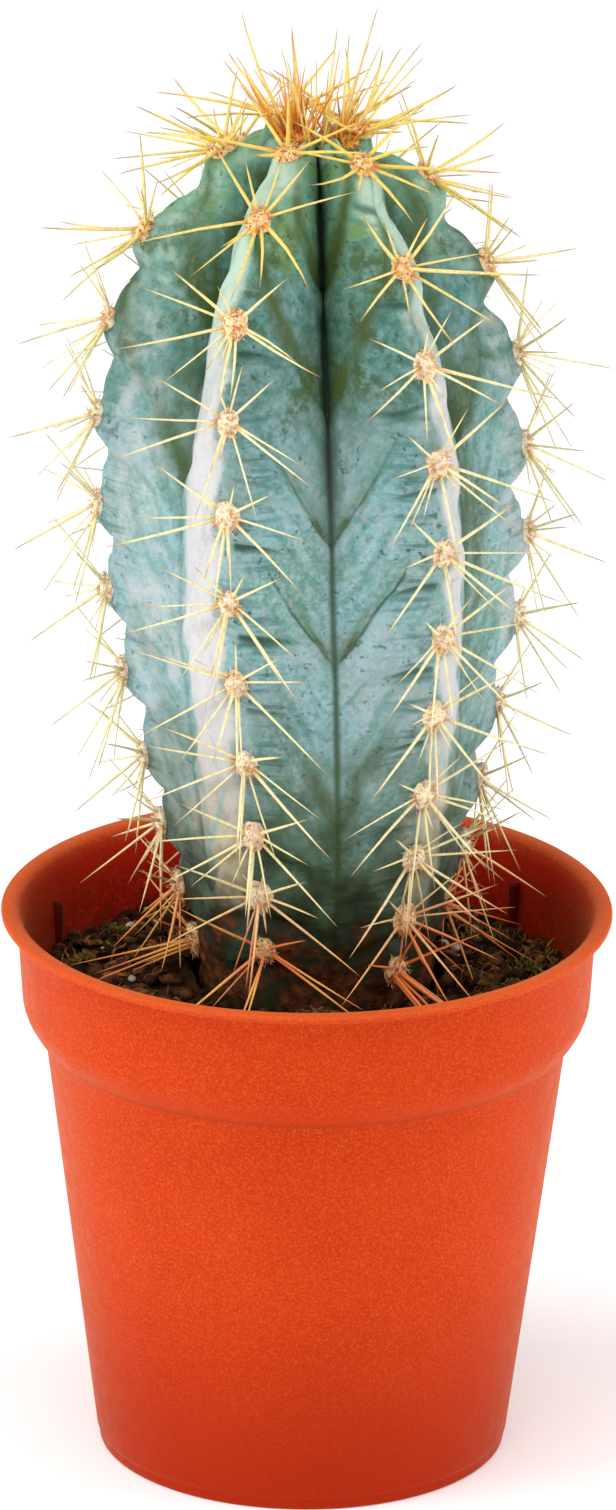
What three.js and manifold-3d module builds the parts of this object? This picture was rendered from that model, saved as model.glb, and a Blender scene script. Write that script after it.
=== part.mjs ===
// A potted columnar cactus: a six-ribbed, blue-green stem with clusters of straight spines along
// its ribs, standing in loose potting soil in a small flared plastic nursery pot.
// Millimetres, +Z up. The origin is the middle of the pot's flat underside, and -Y is the front.
// Azimuths are in degrees, from the front (-Y) towards the right (+X).

import * as THREE from "three";
import { mergeVertices } from "three/addons/utils/BufferGeometryUtils.js";
import Module from "manifold-3d";

const wasm = await Module();
wasm.setup();

// Pot
const POT_HEIGHT = 79;
const LIP_RADIUS = 42.5;
const LIP_INNER_RADIUS = 40.7;
const LIP_THICKNESS = 1.1;
const COLLAR_TOP_RADIUS = 40.3;
const COLLAR_LOW_RADIUS = 39.4;
const COLLAR_LOW_HEIGHT = 65.2;
const COLLAR_BEND_RADIUS = 38.8;
const COLLAR_BEND_HEIGHT = 63.5;
const SHOULDER_RADIUS = 37.5;
const SHOULDER_HEIGHT = 61.4;
const WALL_TOP_RADIUS = 36.3;
const WALL_TOP_HEIGHT = 60.6;
const FOOT_RADIUS = 28.7;
const FOOT_STEP = 0.4;
const FOOT_STEP_HEIGHT = 1.6;
const POT_WALL = 0.9;
const INNER_RISE = 0.5;
const POT_FLOOR = 1.4;
const POT_SIDES = 40;
const DRAIN_HOLES = 8;
const DRAIN_RADIUS = 3;
const DRAIN_CIRCLE = 19;
const DRAIN_SIDES = 10;
const LUG_AZIMUTHS = [9, 131, 245];
const LUG_WIDTH = 1.2;
const LUG_PROUD = 1.3;
const LUG_LOW = 64.5;
const LUG_TOP = 73;

// Soil
const GAP = 0.35;
const SOIL_AT_WALL = 66.6;
const SOIL_AT_STEM = 70.2;
const SOIL_SIDES = 40;
const SOIL_TOP_RINGS = 6;
const SOIL_LUMPS = 26;
const LUMP_SIZE = 1.5;
const LUMP_BAND = [23, 35];
const HOLE_LEVELS = [65.5, 61, 57, 52.7];
const HOLE_BULGE = 3.2;

// Stem: crest radius, crest height, groove radius and groove height, one row for each areole step.
// Row 0 is the buried foot, and the last row is the middle of the crown.
const STEM_ROWS = [
  [9, 53, 9, 53],
  [15.6, 65.5, 15, 64.5],
  [17, 75, 16, 72.5],
  [19, 83, 17.6, 80],
  [21.1, 92.5, 19, 89],
  [23.3, 102.5, 20.2, 99],
  [25.9, 115, 21.4, 110.5],
  [28, 127, 22.2, 122],
  [28.9, 139.5, 22.3, 134],
  [28.8, 152.5, 21.4, 146.5],
  [27.1, 166, 18.4, 159],
  [22.6, 178.5, 12.6, 171.5],
  [12.4, 190.2, 6.3, 184],
  [4.8, 191.6, 2.4, 188.6],
  [0, 190.2, 0, 190.2],
];
const BURIED_ROWS = 2;
const FOOT_DEPTH = 51.5;
const RIBS = 6;
const RIB_AZIMUTH = -22.5;
// No two ribs are alike: how far each stands turned at its foot, how much further it has turned
// at the crown, and how much flatter it is there.
const RIB_TURN = [0, 2, 0, -1, 1, 0];
const RIB_SWING = [-1.5, -6, 0, 2, 0, 0];
const RIB_SWING_STEPS = [4, 10];
const RIB_DROOP = [-1, 1.2, 2.6, 1.5, 0.4, -0.3];
const RIB_DROOP_STEPS = [7, 9];
const AREOLES = 11;
const STAGGER = 0.5;
const STEM_SHIFT = 1.3;
const SHIFT_ENDS = [85, 135];
const CREST_ROUNDING = 0.12;
const FLANK_POWER = 1.15;
const CROWN_FLANK_POWER = 0.45;
const CROWN_FLANK_STEPS = [7, 10.5];
const RIB_WOBBLE = 0.35;
// How deeply each rib is notched, and its swelling as [height, step, half width].
const RIB_NOTCH = [1, 1, 1.45, 1.2, 1, 1.2];
const RIB_SWELL = [
  [0, 5, 1],
  [0, 5, 1],
  [1.5, 5.1, 1.3],
  [0.4, 5, 2],
  [0.4, 6, 2],
  [0.7, 6.5, 2.5],
];

// Crenation: how far the crest stands out from its smooth line, by the share of the way up from
// one areole to the next. The deepest notch lies just below the chin that carries the next areole.
const CRENATION = [
  [0, 0],
  [0.3, -0.55],
  [0.6, -1.3],
  [0.84, 0.35],
  [1, 0],
];
const ACROSS_STOPS = [0, 0.22, 0.6];

// Areoles and spines
const PAD_RADIUS = 1.9;
const PAD_TOP_RADIUS = 1.2;
const PAD_PROUD = 1.1;
const PAD_SUNK = 1.4;
const PAD_STRETCH = 1.2;
const PAD_SIDES = 5;
const SPINE_RADIUS = 0.3;
const SPINE_SIDES = 3;
const ROOT_OUT = 0.3;
const TUFT_SINK = 1.2;
const SOIL_CLEARANCE = 2.4;
const LIFT_STEP = 6;
// How far a tip may stand out from the pot's axis, beside the pot and above it.
const REACH_IN_POT = 36.5;
const REACH_ABOVE = 42;
const ABOVE_POT = 82;
const LENGTH_STEP = 0.4;
// Each spine of a cluster: turn from straight down the rib, lift off the skin, length, and how
// far its root stands from the middle of the pad.
const CLUSTER = [
  { turn: 0, lift: 20, length: 13.5, spread: 0.8 },
  { turn: 62, lift: 20, length: 16.5, spread: 0.8 },
  { turn: -62, lift: 20, length: 16, spread: 0.8 },
  { turn: 128, lift: 24, length: 12, spread: 0.8 },
  { turn: -128, lift: 24, length: 12, spread: 0.8 },
  { turn: 25, lift: 64, length: 14, spread: 0 },
];
const TURN_JITTER = 16;
const LIFT_JITTER = 12;
const LENGTH_JITTER = 0.22;
// The tuft in the middle of the crown.
const TUFT_SPINES = 16;
const TUFT_RADIUS = 3.6;
const TUFT_CORE = 4.2;
const TUFT_TILT = 34;
const TUFT_LENGTHS = [8, 15];
// The longest spines of the crown: azimuth, tilt off upright, length and root radius.
const CROWN_SPINES = [
  { azimuth: 120, tilt: 16, length: 19.2, spread: 4 },
  { azimuth: 100, tilt: 3, length: 15.5, spread: 3.5 },
  { azimuth: -90, tilt: 4, length: 15.5, spread: 2.2 },
  { azimuth: 95, tilt: 36, length: 17.5, spread: 4 },
  { azimuth: 84, tilt: 62, length: 12, spread: 4.4 },
  { azimuth: -95, tilt: 39, length: 14.3, spread: 4 },
  { azimuth: -160, tilt: 30, length: 15, spread: 4 },
  { azimuth: 165, tilt: 34, length: 15, spread: 3.6 },
];
const GOLDEN_ANGLE = 137.5;

const { degToRad, lerp, clamp, smoothstep } = THREE.MathUtils;

// A repeatable draw between 0 and 1, fixed by its three whole numbers.
function draw(a, b, c) {
  const value = Math.sin(12.9898 * a + 78.233 * b + 37.719 * c) * 43758.5453;
  return value - Math.floor(value);
}

// The horizontal unit vector at an azimuth.
function outward(azimuth) {
  const angle = degToRad(azimuth);
  return new THREE.Vector3(Math.sin(angle), -Math.cos(angle), 0);
}

// The point at a radius, height and azimuth.
function polar(radius, height, azimuth) {
  return outward(azimuth).multiplyScalar(radius).setZ(height);
}

// A closed manifold solid from a closed geometry.
function solidOf(geometry) {
  const bare = geometry.clone();
  bare.deleteAttribute("normal");
  bare.deleteAttribute("uv");
  const merged = mergeVertices(bare, 1e-4);
  return new wasm.Manifold(
    new wasm.Mesh({
      numProp: 3,
      vertProperties: merged.attributes.position.array,
      triVerts: new Uint32Array(merged.index.array),
    }),
  );
}

// A geometry from a manifold solid.
function geometryOf(solid) {
  const mesh = solid.getMesh();
  const geometry = new THREE.BufferGeometry();
  geometry.setAttribute("position", new THREE.BufferAttribute(mesh.vertProperties, 3));
  geometry.setIndex(new THREE.BufferAttribute(mesh.triVerts, 1));
  geometry.computeVertexNormals();
  return geometry;
}

// A closed geometry from rings of points, lowest first on the outside, that run anticlockwise
// seen from above. The first and the last ring are single points.
function ringGeometry(rings) {
  const points = rings.flat();
  const starts = [];
  let count = 0;
  for (const ring of rings) {
    starts.push(count);
    count += ring.length;
  }
  const faces = [];
  for (let row = 0; row + 1 < rings.length; row++) {
    const low = rings[row];
    const high = rings[row + 1];
    const sides = Math.max(low.length, high.length);
    for (let side = 0; side < sides; side++) {
      const next = (side + 1) % sides;
      const a = starts[row] + (side % low.length);
      const b = starts[row] + (next % low.length);
      const c = starts[row + 1] + (next % high.length);
      const d = starts[row + 1] + (side % high.length);
      if (low.length > 1) faces.push(a, b, c);
      if (high.length > 1) faces.push(a, c, d);
    }
  }
  const geometry = new THREE.BufferGeometry().setFromPoints(points);
  geometry.setIndex(faces);
  return geometry;
}

// A solid turned about Z from a profile of [radius, height] pairs that starts and ends on the axis.
function turned(profile, sides) {
  const points = profile.map(([radius, height]) => new THREE.Vector2(radius, height));
  const geometry = new THREE.LatheGeometry(points, sides);
  geometry.rotateX(Math.PI / 2);
  return solidOf(geometry);
}

// The inner face of the pot's wall, from the floor up to the lip, as [radius, height] pairs.
const POT_INSIDE = [
  [FOOT_RADIUS - POT_WALL - 0.4, POT_FLOOR],
  [FOOT_RADIUS - POT_WALL + 0.2, POT_FLOOR + 1.2],
  [WALL_TOP_RADIUS - POT_WALL, WALL_TOP_HEIGHT + INNER_RISE],
  [SHOULDER_RADIUS - POT_WALL, SHOULDER_HEIGHT + INNER_RISE],
  [COLLAR_BEND_RADIUS - POT_WALL / 2, COLLAR_BEND_HEIGHT + POT_WALL],
  [COLLAR_TOP_RADIUS - POT_WALL, POT_HEIGHT - 1.8],
  [COLLAR_TOP_RADIUS - 0.35, POT_HEIGHT - 0.4],
  [LIP_INNER_RADIUS, POT_HEIGHT],
];

// The pot's inner radius at a height.
function potInsideRadius(height) {
  let above = POT_INSIDE.findIndex((row) => row[1] > height);
  above = clamp(above, 1, POT_INSIDE.length - 1);
  const [lowRadius, low] = POT_INSIDE[above - 1];
  const [highRadius, high] = POT_INSIDE[above];
  return lerp(lowRadius, highRadius, (height - low) / (high - low));
}

// One upright stacking lug on the inside of the collar, grown on each side by a margin.
function lug(azimuth, margin) {
  const root = 0.4;
  const low = LUG_LOW - margin;
  const top = LUG_TOP + margin;
  const outline = new THREE.Shape([
    new THREE.Vector2(potInsideRadius(low) + root, low),
    new THREE.Vector2(potInsideRadius(low) - LUG_PROUD / 3 - margin, low),
    new THREE.Vector2(potInsideRadius(top) - LUG_PROUD - margin, top),
    new THREE.Vector2(potInsideRadius(top) + root, top),
  ]);
  const width = LUG_WIDTH + 2 * margin;
  const geometry = new THREE.ExtrudeGeometry(outline, { depth: width, bevelEnabled: false });
  geometry.translate(0, 0, -width / 2);
  geometry.rotateX(Math.PI / 2);
  geometry.rotateZ(degToRad(azimuth - 90));
  return solidOf(geometry);
}

// The pot: a flared wall with a rounded-in collar, a thin flat lip, a small foot step, stacking
// lugs inside the collar and drain holes round the middle of its floor.
function makePot() {
  const lipBottom = POT_HEIGHT - LIP_THICKNESS;
  const foot = FOOT_RADIUS - FOOT_STEP;
  const outside = [
    [0, 0],
    [foot - 0.3, 0],
    [foot, 0.3],
    [foot + 0.1, FOOT_STEP_HEIGHT],
    [FOOT_RADIUS, FOOT_STEP_HEIGHT + 0.5],
    [WALL_TOP_RADIUS, WALL_TOP_HEIGHT],
    [SHOULDER_RADIUS, SHOULDER_HEIGHT],
    [COLLAR_BEND_RADIUS, COLLAR_BEND_HEIGHT],
    [COLLAR_LOW_RADIUS, COLLAR_LOW_HEIGHT],
    [COLLAR_TOP_RADIUS, lipBottom - 0.3],
    [LIP_RADIUS - 0.3, lipBottom],
    [LIP_RADIUS, lipBottom + 0.3],
    [LIP_RADIUS, POT_HEIGHT - 0.3],
    [LIP_RADIUS - 0.3, POT_HEIGHT],
  ];
  const inside = [...POT_INSIDE].reverse();
  let pot = turned([...outside, ...inside, [0, POT_FLOOR]], POT_SIDES);
  for (const azimuth of LUG_AZIMUTHS) {
    pot = pot.add(lug(azimuth, 0));
  }
  for (let index = 0; index < DRAIN_HOLES; index++) {
    const hole = new THREE.CylinderGeometry(DRAIN_RADIUS, DRAIN_RADIUS, 4 * POT_FLOOR, DRAIN_SIDES);
    hole.rotateX(Math.PI / 2);
    const place = polar(DRAIN_CIRCLE, 0, (index * 360) / DRAIN_HOLES);
    hole.translate(place.x, place.y, 0);
    pot = pot.subtract(solidOf(hole));
  }
  return pot;
}

// Stem rows as two curves in the half-plane of radius and height.
const crestLine = new THREE.SplineCurve(STEM_ROWS.map((row) => new THREE.Vector2(row[0], row[1])));
const grooveLine = new THREE.SplineCurve(STEM_ROWS.map((row) => new THREE.Vector2(row[2], row[3])));
const LAST_STEP = STEM_ROWS.length - 1 - BURIED_ROWS;

function lineShare(step) {
  return clamp((step + BURIED_ROWS) / (STEM_ROWS.length - 1), 0, 1);
}

function crenation(share) {
  const above = CRENATION.findIndex((stop) => stop[0] > share);
  const [low, lowOut] = CRENATION[above - 1];
  const [high, highOut] = CRENATION[above];
  return lerp(lowOut, highOut, (share - low) / (high - low));
}

// A rib's crest at a step, crenation included, with the unit vectors out of it and up along it,
// in the half-plane of radius and height.
function crest(rib, step) {
  const share = lineShare(step);
  const point = crestLine.getPoint(share);
  const up = crestLine.getTangent(share);
  const out = new THREE.Vector2(up.y, -up.x);
  const fade = smoothstep(step, -1, 0.5) * (1 - smoothstep(step, LAST_STEP - 1.2, LAST_STEP));
  const phased = step - ribPhase(rib);
  const [swell, swellStep, swellWidth] = RIB_SWELL[rib];
  const swelling = swell * Math.exp(-(((step - swellStep) / swellWidth) ** 2));
  const wobble = RIB_WOBBLE * Math.sin(2.3 * rib + 1.1 * step);
  const notched = RIB_NOTCH[rib] * crenation(phased - Math.floor(phased));
  point.addScaledVector(out, fade * (notched + wobble + swelling));
  point.x -= fade * RIB_DROOP[rib] * smoothstep(step, ...RIB_DROOP_STEPS);
  return { point, out, up };
}

// The azimuth of a rib's crest at a step.
function ribAzimuth(rib, step) {
  const swing = RIB_SWING[rib] * smoothstep(step, ...RIB_SWING_STEPS);
  return RIB_AZIMUTH + rib * (360 / RIBS) + RIB_TURN[rib] + swing;
}

// Every second rib carries its areoles half a step higher.
function ribPhase(rib) {
  return rib % 2 === 0 ? STAGGER : 0;
}

// The stem's sideways shift, which its foot has and its upper part hasn't.
function shiftAt(height) {
  return STEM_SHIFT * (1 - smoothstep(height, SHIFT_ENDS[0], SHIFT_ENDS[1]));
}

// A point of the skin: a ring's step, a rib, and the way across from its crest (0) to the groove
// on either side (-1 or 1). Rings run half a step higher on every second rib and even out below
// the lowest areole and above the highest.
function skinPoint(ringStep, rib, across) {
  const low = clamp((ringStep + BURIED_ROWS) / BURIED_ROWS, 0, 1);
  const high = clamp((LAST_STEP - ringStep) / (LAST_STEP - AREOLES + 1), 0, 1);
  const span = Math.abs(across);
  const phase = lerp(ribPhase(rib), STAGGER / 2, span);
  const step = ringStep + phase * Math.min(low, high);
  const groove = grooveLine.getPoint(lineShare(step));
  const rounded = Math.hypot(span, CREST_ROUNDING) - CREST_ROUNDING;
  const full = Math.hypot(1, CREST_ROUNDING) - CREST_ROUNDING;
  const crownShare = smoothstep(step, CROWN_FLANK_STEPS[0], CROWN_FLANK_STEPS[1]);
  const power = lerp(FLANK_POWER, CROWN_FLANK_POWER, crownShare);
  const weight = Math.pow(Math.max(1 - rounded / full, 0), power);
  const place = groove.lerp(crest(rib, step).point, weight);
  const side = Math.sign(across);
  const neighbour = (rib + side + RIBS) % RIBS;
  let away = ribAzimuth(neighbour, step) - ribAzimuth(rib, step);
  away += 360 * Math.round((side * (360 / RIBS) - away) / 360);
  const point = polar(place.x, place.y, ribAzimuth(rib, step) + (away / 2) * span);
  point.x += shiftAt(place.y);
  return point;
}

// The bare stem: one ring at each stop of the crenation, closed at the foot and the crown.
function makeStem() {
  const steps = [-2, -1.5, -1, -0.55, -0.16];
  for (let areole = 0; areole < AREOLES - 1; areole++) {
    for (const [share] of CRENATION.slice(0, -1)) {
      steps.push(areole + share);
    }
  }
  steps.push(AREOLES - 1, 10.3, 10.65, 11, 11.4);
  const rings = steps.map((step) => {
    const ring = [];
    for (let rib = 0; rib < RIBS; rib++) {
      for (const stop of [...ACROSS_STOPS.slice(1)].reverse()) {
        ring.push(skinPoint(step, rib, -stop));
      }
      for (const stop of ACROSS_STOPS) {
        ring.push(skinPoint(step, rib, stop));
      }
      ring.push(skinPoint(step, rib, 1));
    }
    return ring;
  });
  const foot = new THREE.Vector3(STEM_SHIFT, 0, FOOT_DEPTH);
  const crown = polar(0, STEM_ROWS.at(-1)[1], 0);
  return solidOf(ringGeometry([[foot], ...rings, [crown]]));
}

// The soil's height at a place, without its lumps.
function soilHeight(x, y) {
  const radius = Math.hypot(x, y);
  const share = clamp((radius - 17) / 21, 0, 1);
  const waves = 0.7 * Math.sin(0.33 * x + 1.3) * Math.cos(0.29 * y - 0.4);
  const ripples = 0.45 * Math.sin(0.71 * x - 0.9 * y + 2) + 0.3 * Math.sin(1.3 * x + 0.8 * y);
  return lerp(SOIL_AT_STEM, SOIL_AT_WALL, share) + waves + ripples;
}

// The radius of the plain hole in the soil that the stem stands in, at a height.
function holeRadius(height) {
  const foot = crestLine.getPoint(lineShare(-BURIED_ROWS));
  const line = crestLine.getPoint(lineShare(0));
  const share = clamp((height - foot.y) / (line.y - foot.y), 0, 1);
  const bulge = HOLE_BULGE * Math.sin(Math.PI * Math.pow(share, 0.8));
  return lerp(foot.x, line.x, share) + bulge + 2 * GAP;
}

// A lump of bark or grit: a squashed, turned icosahedron that sits half sunk in the soil.
function soilLump(index) {
  const azimuth = index * GOLDEN_ANGLE;
  const radius = lerp(...LUMP_BAND, Math.sqrt(draw(index, 1, 0)));
  const size = LUMP_SIZE * lerp(0.7, 1.3, draw(index, 2, 0));
  const lump = new THREE.IcosahedronGeometry(size, 0);
  lump.scale(lerp(0.9, 1.7, draw(index, 3, 0)), 1, lerp(0.5, 0.8, draw(index, 4, 0)));
  lump.rotateX(degToRad(lerp(-20, 20, draw(index, 5, 0))));
  lump.rotateZ(degToRad(360 * draw(index, 6, 0)));
  const place = polar(radius, 0, azimuth);
  lump.translate(place.x, place.y, soilHeight(place.x, place.y) + 0.2 * size);
  return solidOf(lump);
}

// The soil: it fills the pot up to an uneven top with lumps, and has a plain hole for the stem.
function makeSoil() {
  const ring = (radius, heightOf, shift) => {
    const points = [];
    for (let side = 0; side < SOIL_SIDES; side++) {
      const point = polar(radius, 0, (side * 360) / SOIL_SIDES);
      point.x += shift;
      point.z = heightOf(point);
      points.push(point);
    }
    return points;
  };
  const top = (point) => soilHeight(point.x, point.y);
  const floor = POT_FLOOR + GAP;
  const rings = [[polar(0, floor, 0)], ring(POT_INSIDE[0][0] - GAP, () => floor, 0)];
  const buried = POT_INSIDE.filter(([, height]) => height > POT_FLOOR && height < SOIL_AT_WALL);
  for (const [radius, height] of buried) {
    rings.push(ring(radius - GAP, () => height, 0));
  }
  const wallRadius = potInsideRadius(SOIL_AT_WALL) - GAP;
  const mouthRadius = holeRadius(SOIL_AT_STEM);
  for (let index = 0; index <= SOIL_TOP_RINGS; index++) {
    const share = index / SOIL_TOP_RINGS;
    rings.push(ring(lerp(wallRadius, mouthRadius, share), top, STEM_SHIFT * share));
  }
  const holeFloor = FOOT_DEPTH - GAP;
  for (const height of HOLE_LEVELS) {
    rings.push(ring(holeRadius(height), () => height, STEM_SHIFT));
  }
  rings.push([polar(0, holeFloor, 0).setX(STEM_SHIFT)]);
  let soil = solidOf(ringGeometry(rings));
  for (let index = 0; index < SOIL_LUMPS; index++) {
    soil = soil.add(soilLump(index));
  }
  for (const azimuth of LUG_AZIMUTHS) {
    soil = soil.subtract(lug(azimuth, GAP));
  }
  return soil;
}

// A straight three-sided spine from its root's middle, along a direction.
function spine(from, direction, length) {
  const geometry = new THREE.ConeGeometry(SPINE_RADIUS, length, SPINE_SIDES);
  geometry.translate(0, length / 2, 0);
  const turn = new THREE.Quaternion().setFromUnitVectors(new THREE.Vector3(0, 1, 0), direction);
  geometry.applyQuaternion(turn);
  geometry.translate(from.x, from.y, from.z);
  return solidOf(geometry);
}

// The place and the three directions of an areole: out of the skin, up the rib and to the side.
function areoleFrame(rib, areole) {
  const step = areole + ribPhase(rib);
  const azimuth = ribAzimuth(rib, step);
  const { point, out, up } = crest(rib, step);
  const toWorld = (pair) => outward(azimuth).multiplyScalar(pair.x).setZ(pair.y);
  const place = toWorld(point);
  place.x += shiftAt(point.y);
  const frame = { place, out: toWorld(out), up: toWorld(up) };
  frame.side = new THREE.Vector3().crossVectors(frame.up, frame.out);
  return frame;
}

// A spine's direction from its turn off straight down and its lift off the skin.
function spineDirection(frame, turn, lift) {
  const flat = frame.up.clone().multiplyScalar(-Math.cos(degToRad(turn)));
  flat.addScaledVector(frame.side, Math.sin(degToRad(turn)));
  flat.multiplyScalar(Math.cos(degToRad(lift)));
  return flat.addScaledVector(frame.out, Math.sin(degToRad(lift))).normalize();
}

// Whether a spine's tip stands out beyond the pot's wall or lip.
function tooFarOut(tip) {
  return Math.hypot(tip.x, tip.y) > (tip.z < ABOVE_POT ? REACH_IN_POT : REACH_ABOVE);
}

// One areole: a low woolly pad with its cluster of spines. A spine that would reach the soil is
// lifted clear of it, and one that would reach the pot or beyond it grows shorter.
function areoleCluster(rib, areole) {
  const frame = areoleFrame(rib, areole);
  const padHeight = PAD_PROUD + PAD_SUNK;
  const pad = new THREE.CylinderGeometry(PAD_TOP_RADIUS, PAD_RADIUS, padHeight, PAD_SIDES);
  pad.rotateY(Math.PI / PAD_SIDES);
  pad.scale(1, 1, PAD_STRETCH);
  pad.translate(0, PAD_PROUD - padHeight / 2, 0);
  const basis = new THREE.Matrix4().makeBasis(frame.side, frame.out, frame.up.clone().negate());
  pad.applyMatrix4(basis.setPosition(frame.place));
  let cluster = solidOf(pad);
  CLUSTER.forEach((each, index) => {
    const seed = 40 * areole + index;
    const turn = each.turn + TURN_JITTER * (draw(rib, seed, 1) - 0.5);
    let length = each.length * (1 + LENGTH_JITTER * (draw(rib, seed, 2) - 0.5));
    let lift = each.lift + LIFT_JITTER * (draw(rib, seed, 3) - 0.5);
    let direction = spineDirection(frame, turn, lift);
    const root = frame.place.clone().addScaledVector(frame.out, ROOT_OUT);
    root.addScaledVector(spineDirection(frame, turn, 0), each.spread);
    const tip = () => root.clone().addScaledVector(direction, length);
    while (lift < 80 && tip().z < soilHeight(tip().x, tip().y) + SOIL_CLEARANCE) {
      lift += LIFT_STEP;
      direction = spineDirection(frame, turn, lift);
    }
    while (length > LENGTH_STEP && tooFarOut(tip())) {
      length -= LENGTH_STEP;
    }
    cluster = cluster.add(spine(root, direction, length));
  });
  return cluster;
}

// The tuft of long, nearly upright spines in the middle of the crown, on a small woolly core.
function crownTuft() {
  const middle = STEM_ROWS.at(-1)[1];
  const core = new THREE.IcosahedronGeometry(TUFT_CORE, 0);
  core.scale(1, 1, 0.6);
  core.translate(0, 0, middle);
  let tuft = solidOf(core);
  const spines = [...CROWN_SPINES];
  for (let index = 0; index < TUFT_SPINES; index++) {
    const share = Math.sqrt((index + 0.5) / TUFT_SPINES);
    const length = lerp(...TUFT_LENGTHS, draw(index, 9, 4));
    const [tilt, spread] = [TUFT_TILT * share, TUFT_RADIUS * share];
    spines.push({ azimuth: index * GOLDEN_ANGLE, tilt, length, spread });
  }
  for (const { azimuth, tilt, length, spread } of spines) {
    const lean = degToRad(tilt);
    const direction = outward(azimuth).multiplyScalar(Math.sin(lean)).setZ(Math.cos(lean));
    const root = polar(spread, middle + 0.4, azimuth).addScaledVector(direction, -TUFT_SINK);
    tuft = tuft.add(spine(root, direction, TUFT_SINK + length));
  }
  return tuft;
}

// The cactus as it grew: stem, woolly areoles and spines in one body.
function makeCactus() {
  let cactus = makeStem().add(crownTuft());
  for (let rib = 0; rib < RIBS; rib++) {
    for (let areole = 0; areole < AREOLES; areole++) {
      cactus = cactus.add(areoleCluster(rib, areole));
    }
  }
  return cactus;
}

const potPlastic = new THREE.MeshStandardMaterial({
  color: 0xe05a2c,
  roughness: 0.55,
  metalness: 0,
});
const pottingSoil = new THREE.MeshStandardMaterial({
  color: 0x3a2c20,
  roughness: 0.95,
  metalness: 0,
});
const cactusSkin = new THREE.MeshStandardMaterial({
  color: 0x6fa79a,
  roughness: 0.6,
  metalness: 0,
});

// A named mesh from a solid.
function piece(name, solid, material) {
  const mesh = new THREE.Mesh(geometryOf(solid), material);
  mesh.name = name;
  return mesh;
}

const pottedCactus = new THREE.Group();
pottedCactus.name = "potted_cactus";
pottedCactus.add(piece("pot", makePot(), potPlastic));
pottedCactus.add(piece("soil", makeSoil(), pottingSoil));
pottedCactus.add(piece("cactus", makeCactus(), cactusSkin));

export default pottedCactus;
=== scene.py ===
"""A potted columnar cactus: the finished look of its pot, soil, stem, wool and spines.

Shape values are in millimetres, as the plant was measured, and are turned into metres where a mesh
is made. +Z is up, -Y is the front, and azimuths run from the front towards the right (+X).
"""

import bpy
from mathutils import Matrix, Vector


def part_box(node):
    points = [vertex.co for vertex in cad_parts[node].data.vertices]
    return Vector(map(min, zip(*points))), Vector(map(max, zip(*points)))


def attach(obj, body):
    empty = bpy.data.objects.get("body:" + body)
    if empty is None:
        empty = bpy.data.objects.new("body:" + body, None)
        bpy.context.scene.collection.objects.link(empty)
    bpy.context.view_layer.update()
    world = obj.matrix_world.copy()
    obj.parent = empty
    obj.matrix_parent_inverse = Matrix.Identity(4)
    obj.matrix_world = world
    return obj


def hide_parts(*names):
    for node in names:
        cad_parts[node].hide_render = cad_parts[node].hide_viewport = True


bl_info = {
    "name": "Potted Columnar Cactus",
    "version": (1, 0, 0),
    "blender": (4, 5, 0),
    "location": "View3D > Sidebar > Cactus",
    "description": "Makes a six-ribbed blue cactus with its spines, soil and nursery pot",
    "category": "Add Mesh",
}

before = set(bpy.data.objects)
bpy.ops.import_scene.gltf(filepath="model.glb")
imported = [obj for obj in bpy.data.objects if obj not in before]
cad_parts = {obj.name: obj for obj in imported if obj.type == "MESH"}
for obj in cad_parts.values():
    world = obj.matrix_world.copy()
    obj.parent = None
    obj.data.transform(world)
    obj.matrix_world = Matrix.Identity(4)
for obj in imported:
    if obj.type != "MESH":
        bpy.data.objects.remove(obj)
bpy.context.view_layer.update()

import functools
import math

import bmesh
import bpy
import numpy as np
from bpy.props import FloatProperty, FloatVectorProperty, IntProperty, PointerProperty
from bpy.types import Operator, Panel, PropertyGroup
from mathutils import Matrix, Vector, noise

POT_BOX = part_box("pot")
MM = 0.001
BODY = "root"

# Pot profile, as [radius, height], in the order in which the wall is drawn.
POT_OUTSIDE = [
    (0, 0), (28.0, 0), (28.3, 0.3), (28.4, 1.6), (28.7, 2.1), (36.3, 60.6), (37.5, 61.4),
    (38.8, 63.5), (39.4, 65.2), (40.3, 77.6), (42.2, 77.9), (42.5, 78.2), (42.5, 78.7), (42.2, 79),
]
POT_INSIDE = [
    (27.4, 1.4), (28.0, 2.6), (35.4, 61.1), (36.6, 61.9), (38.35, 64.4), (39.4, 77.2),
    (39.95, 78.6), (40.7, 79),
]
POT_FLOOR = 1.4
POT_SIDES = 240
LONGEST_RUN = 3.5
CORNER_STEPS = 4
CORNER_REACH = 0.8
# The lip is a little out of round: depth of each wave, waves round the lip and their turn.
LIP_WAVES = ((0.09, 2, 40), (0.05, 5, 0))
LIP_INSET = 0.15
LIP_RADIUS, LIP_HEIGHT, WALL_TOP = 42, 79, 60
DRAIN_HOLES = 8
DRAIN_RADIUS = 3.0
DRAIN_CIRCLE = 19.0
DRILL_SIDES = 28
DRILL_ENDS = (-3, 4)
LUG_AZIMUTHS = (9, 131, 245)
LUG_WIDTH = 1.2
LUG_PROUD = 1.3
LUG_ROOT = 0.4
LUG_ENDS = (64.5, 73.0)

# Soil
SOIL_AT_WALL = 66.6
SOIL_AT_STEM = 70.2
SOIL_GAP = 0.35
SOIL_SIDES = 220
SOIL_TOP_RINGS = 70
HOLE_LEVELS = (65.5, 61, 57, 52.7)
HOLE_BULGE = 3.2
# The peat's own lumps: height, size and seed.
PEAT_LUMPS = ((0.9, 5.5, 0), (0.7, 2.2, 7), (0.4, 1.0, 3))
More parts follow.
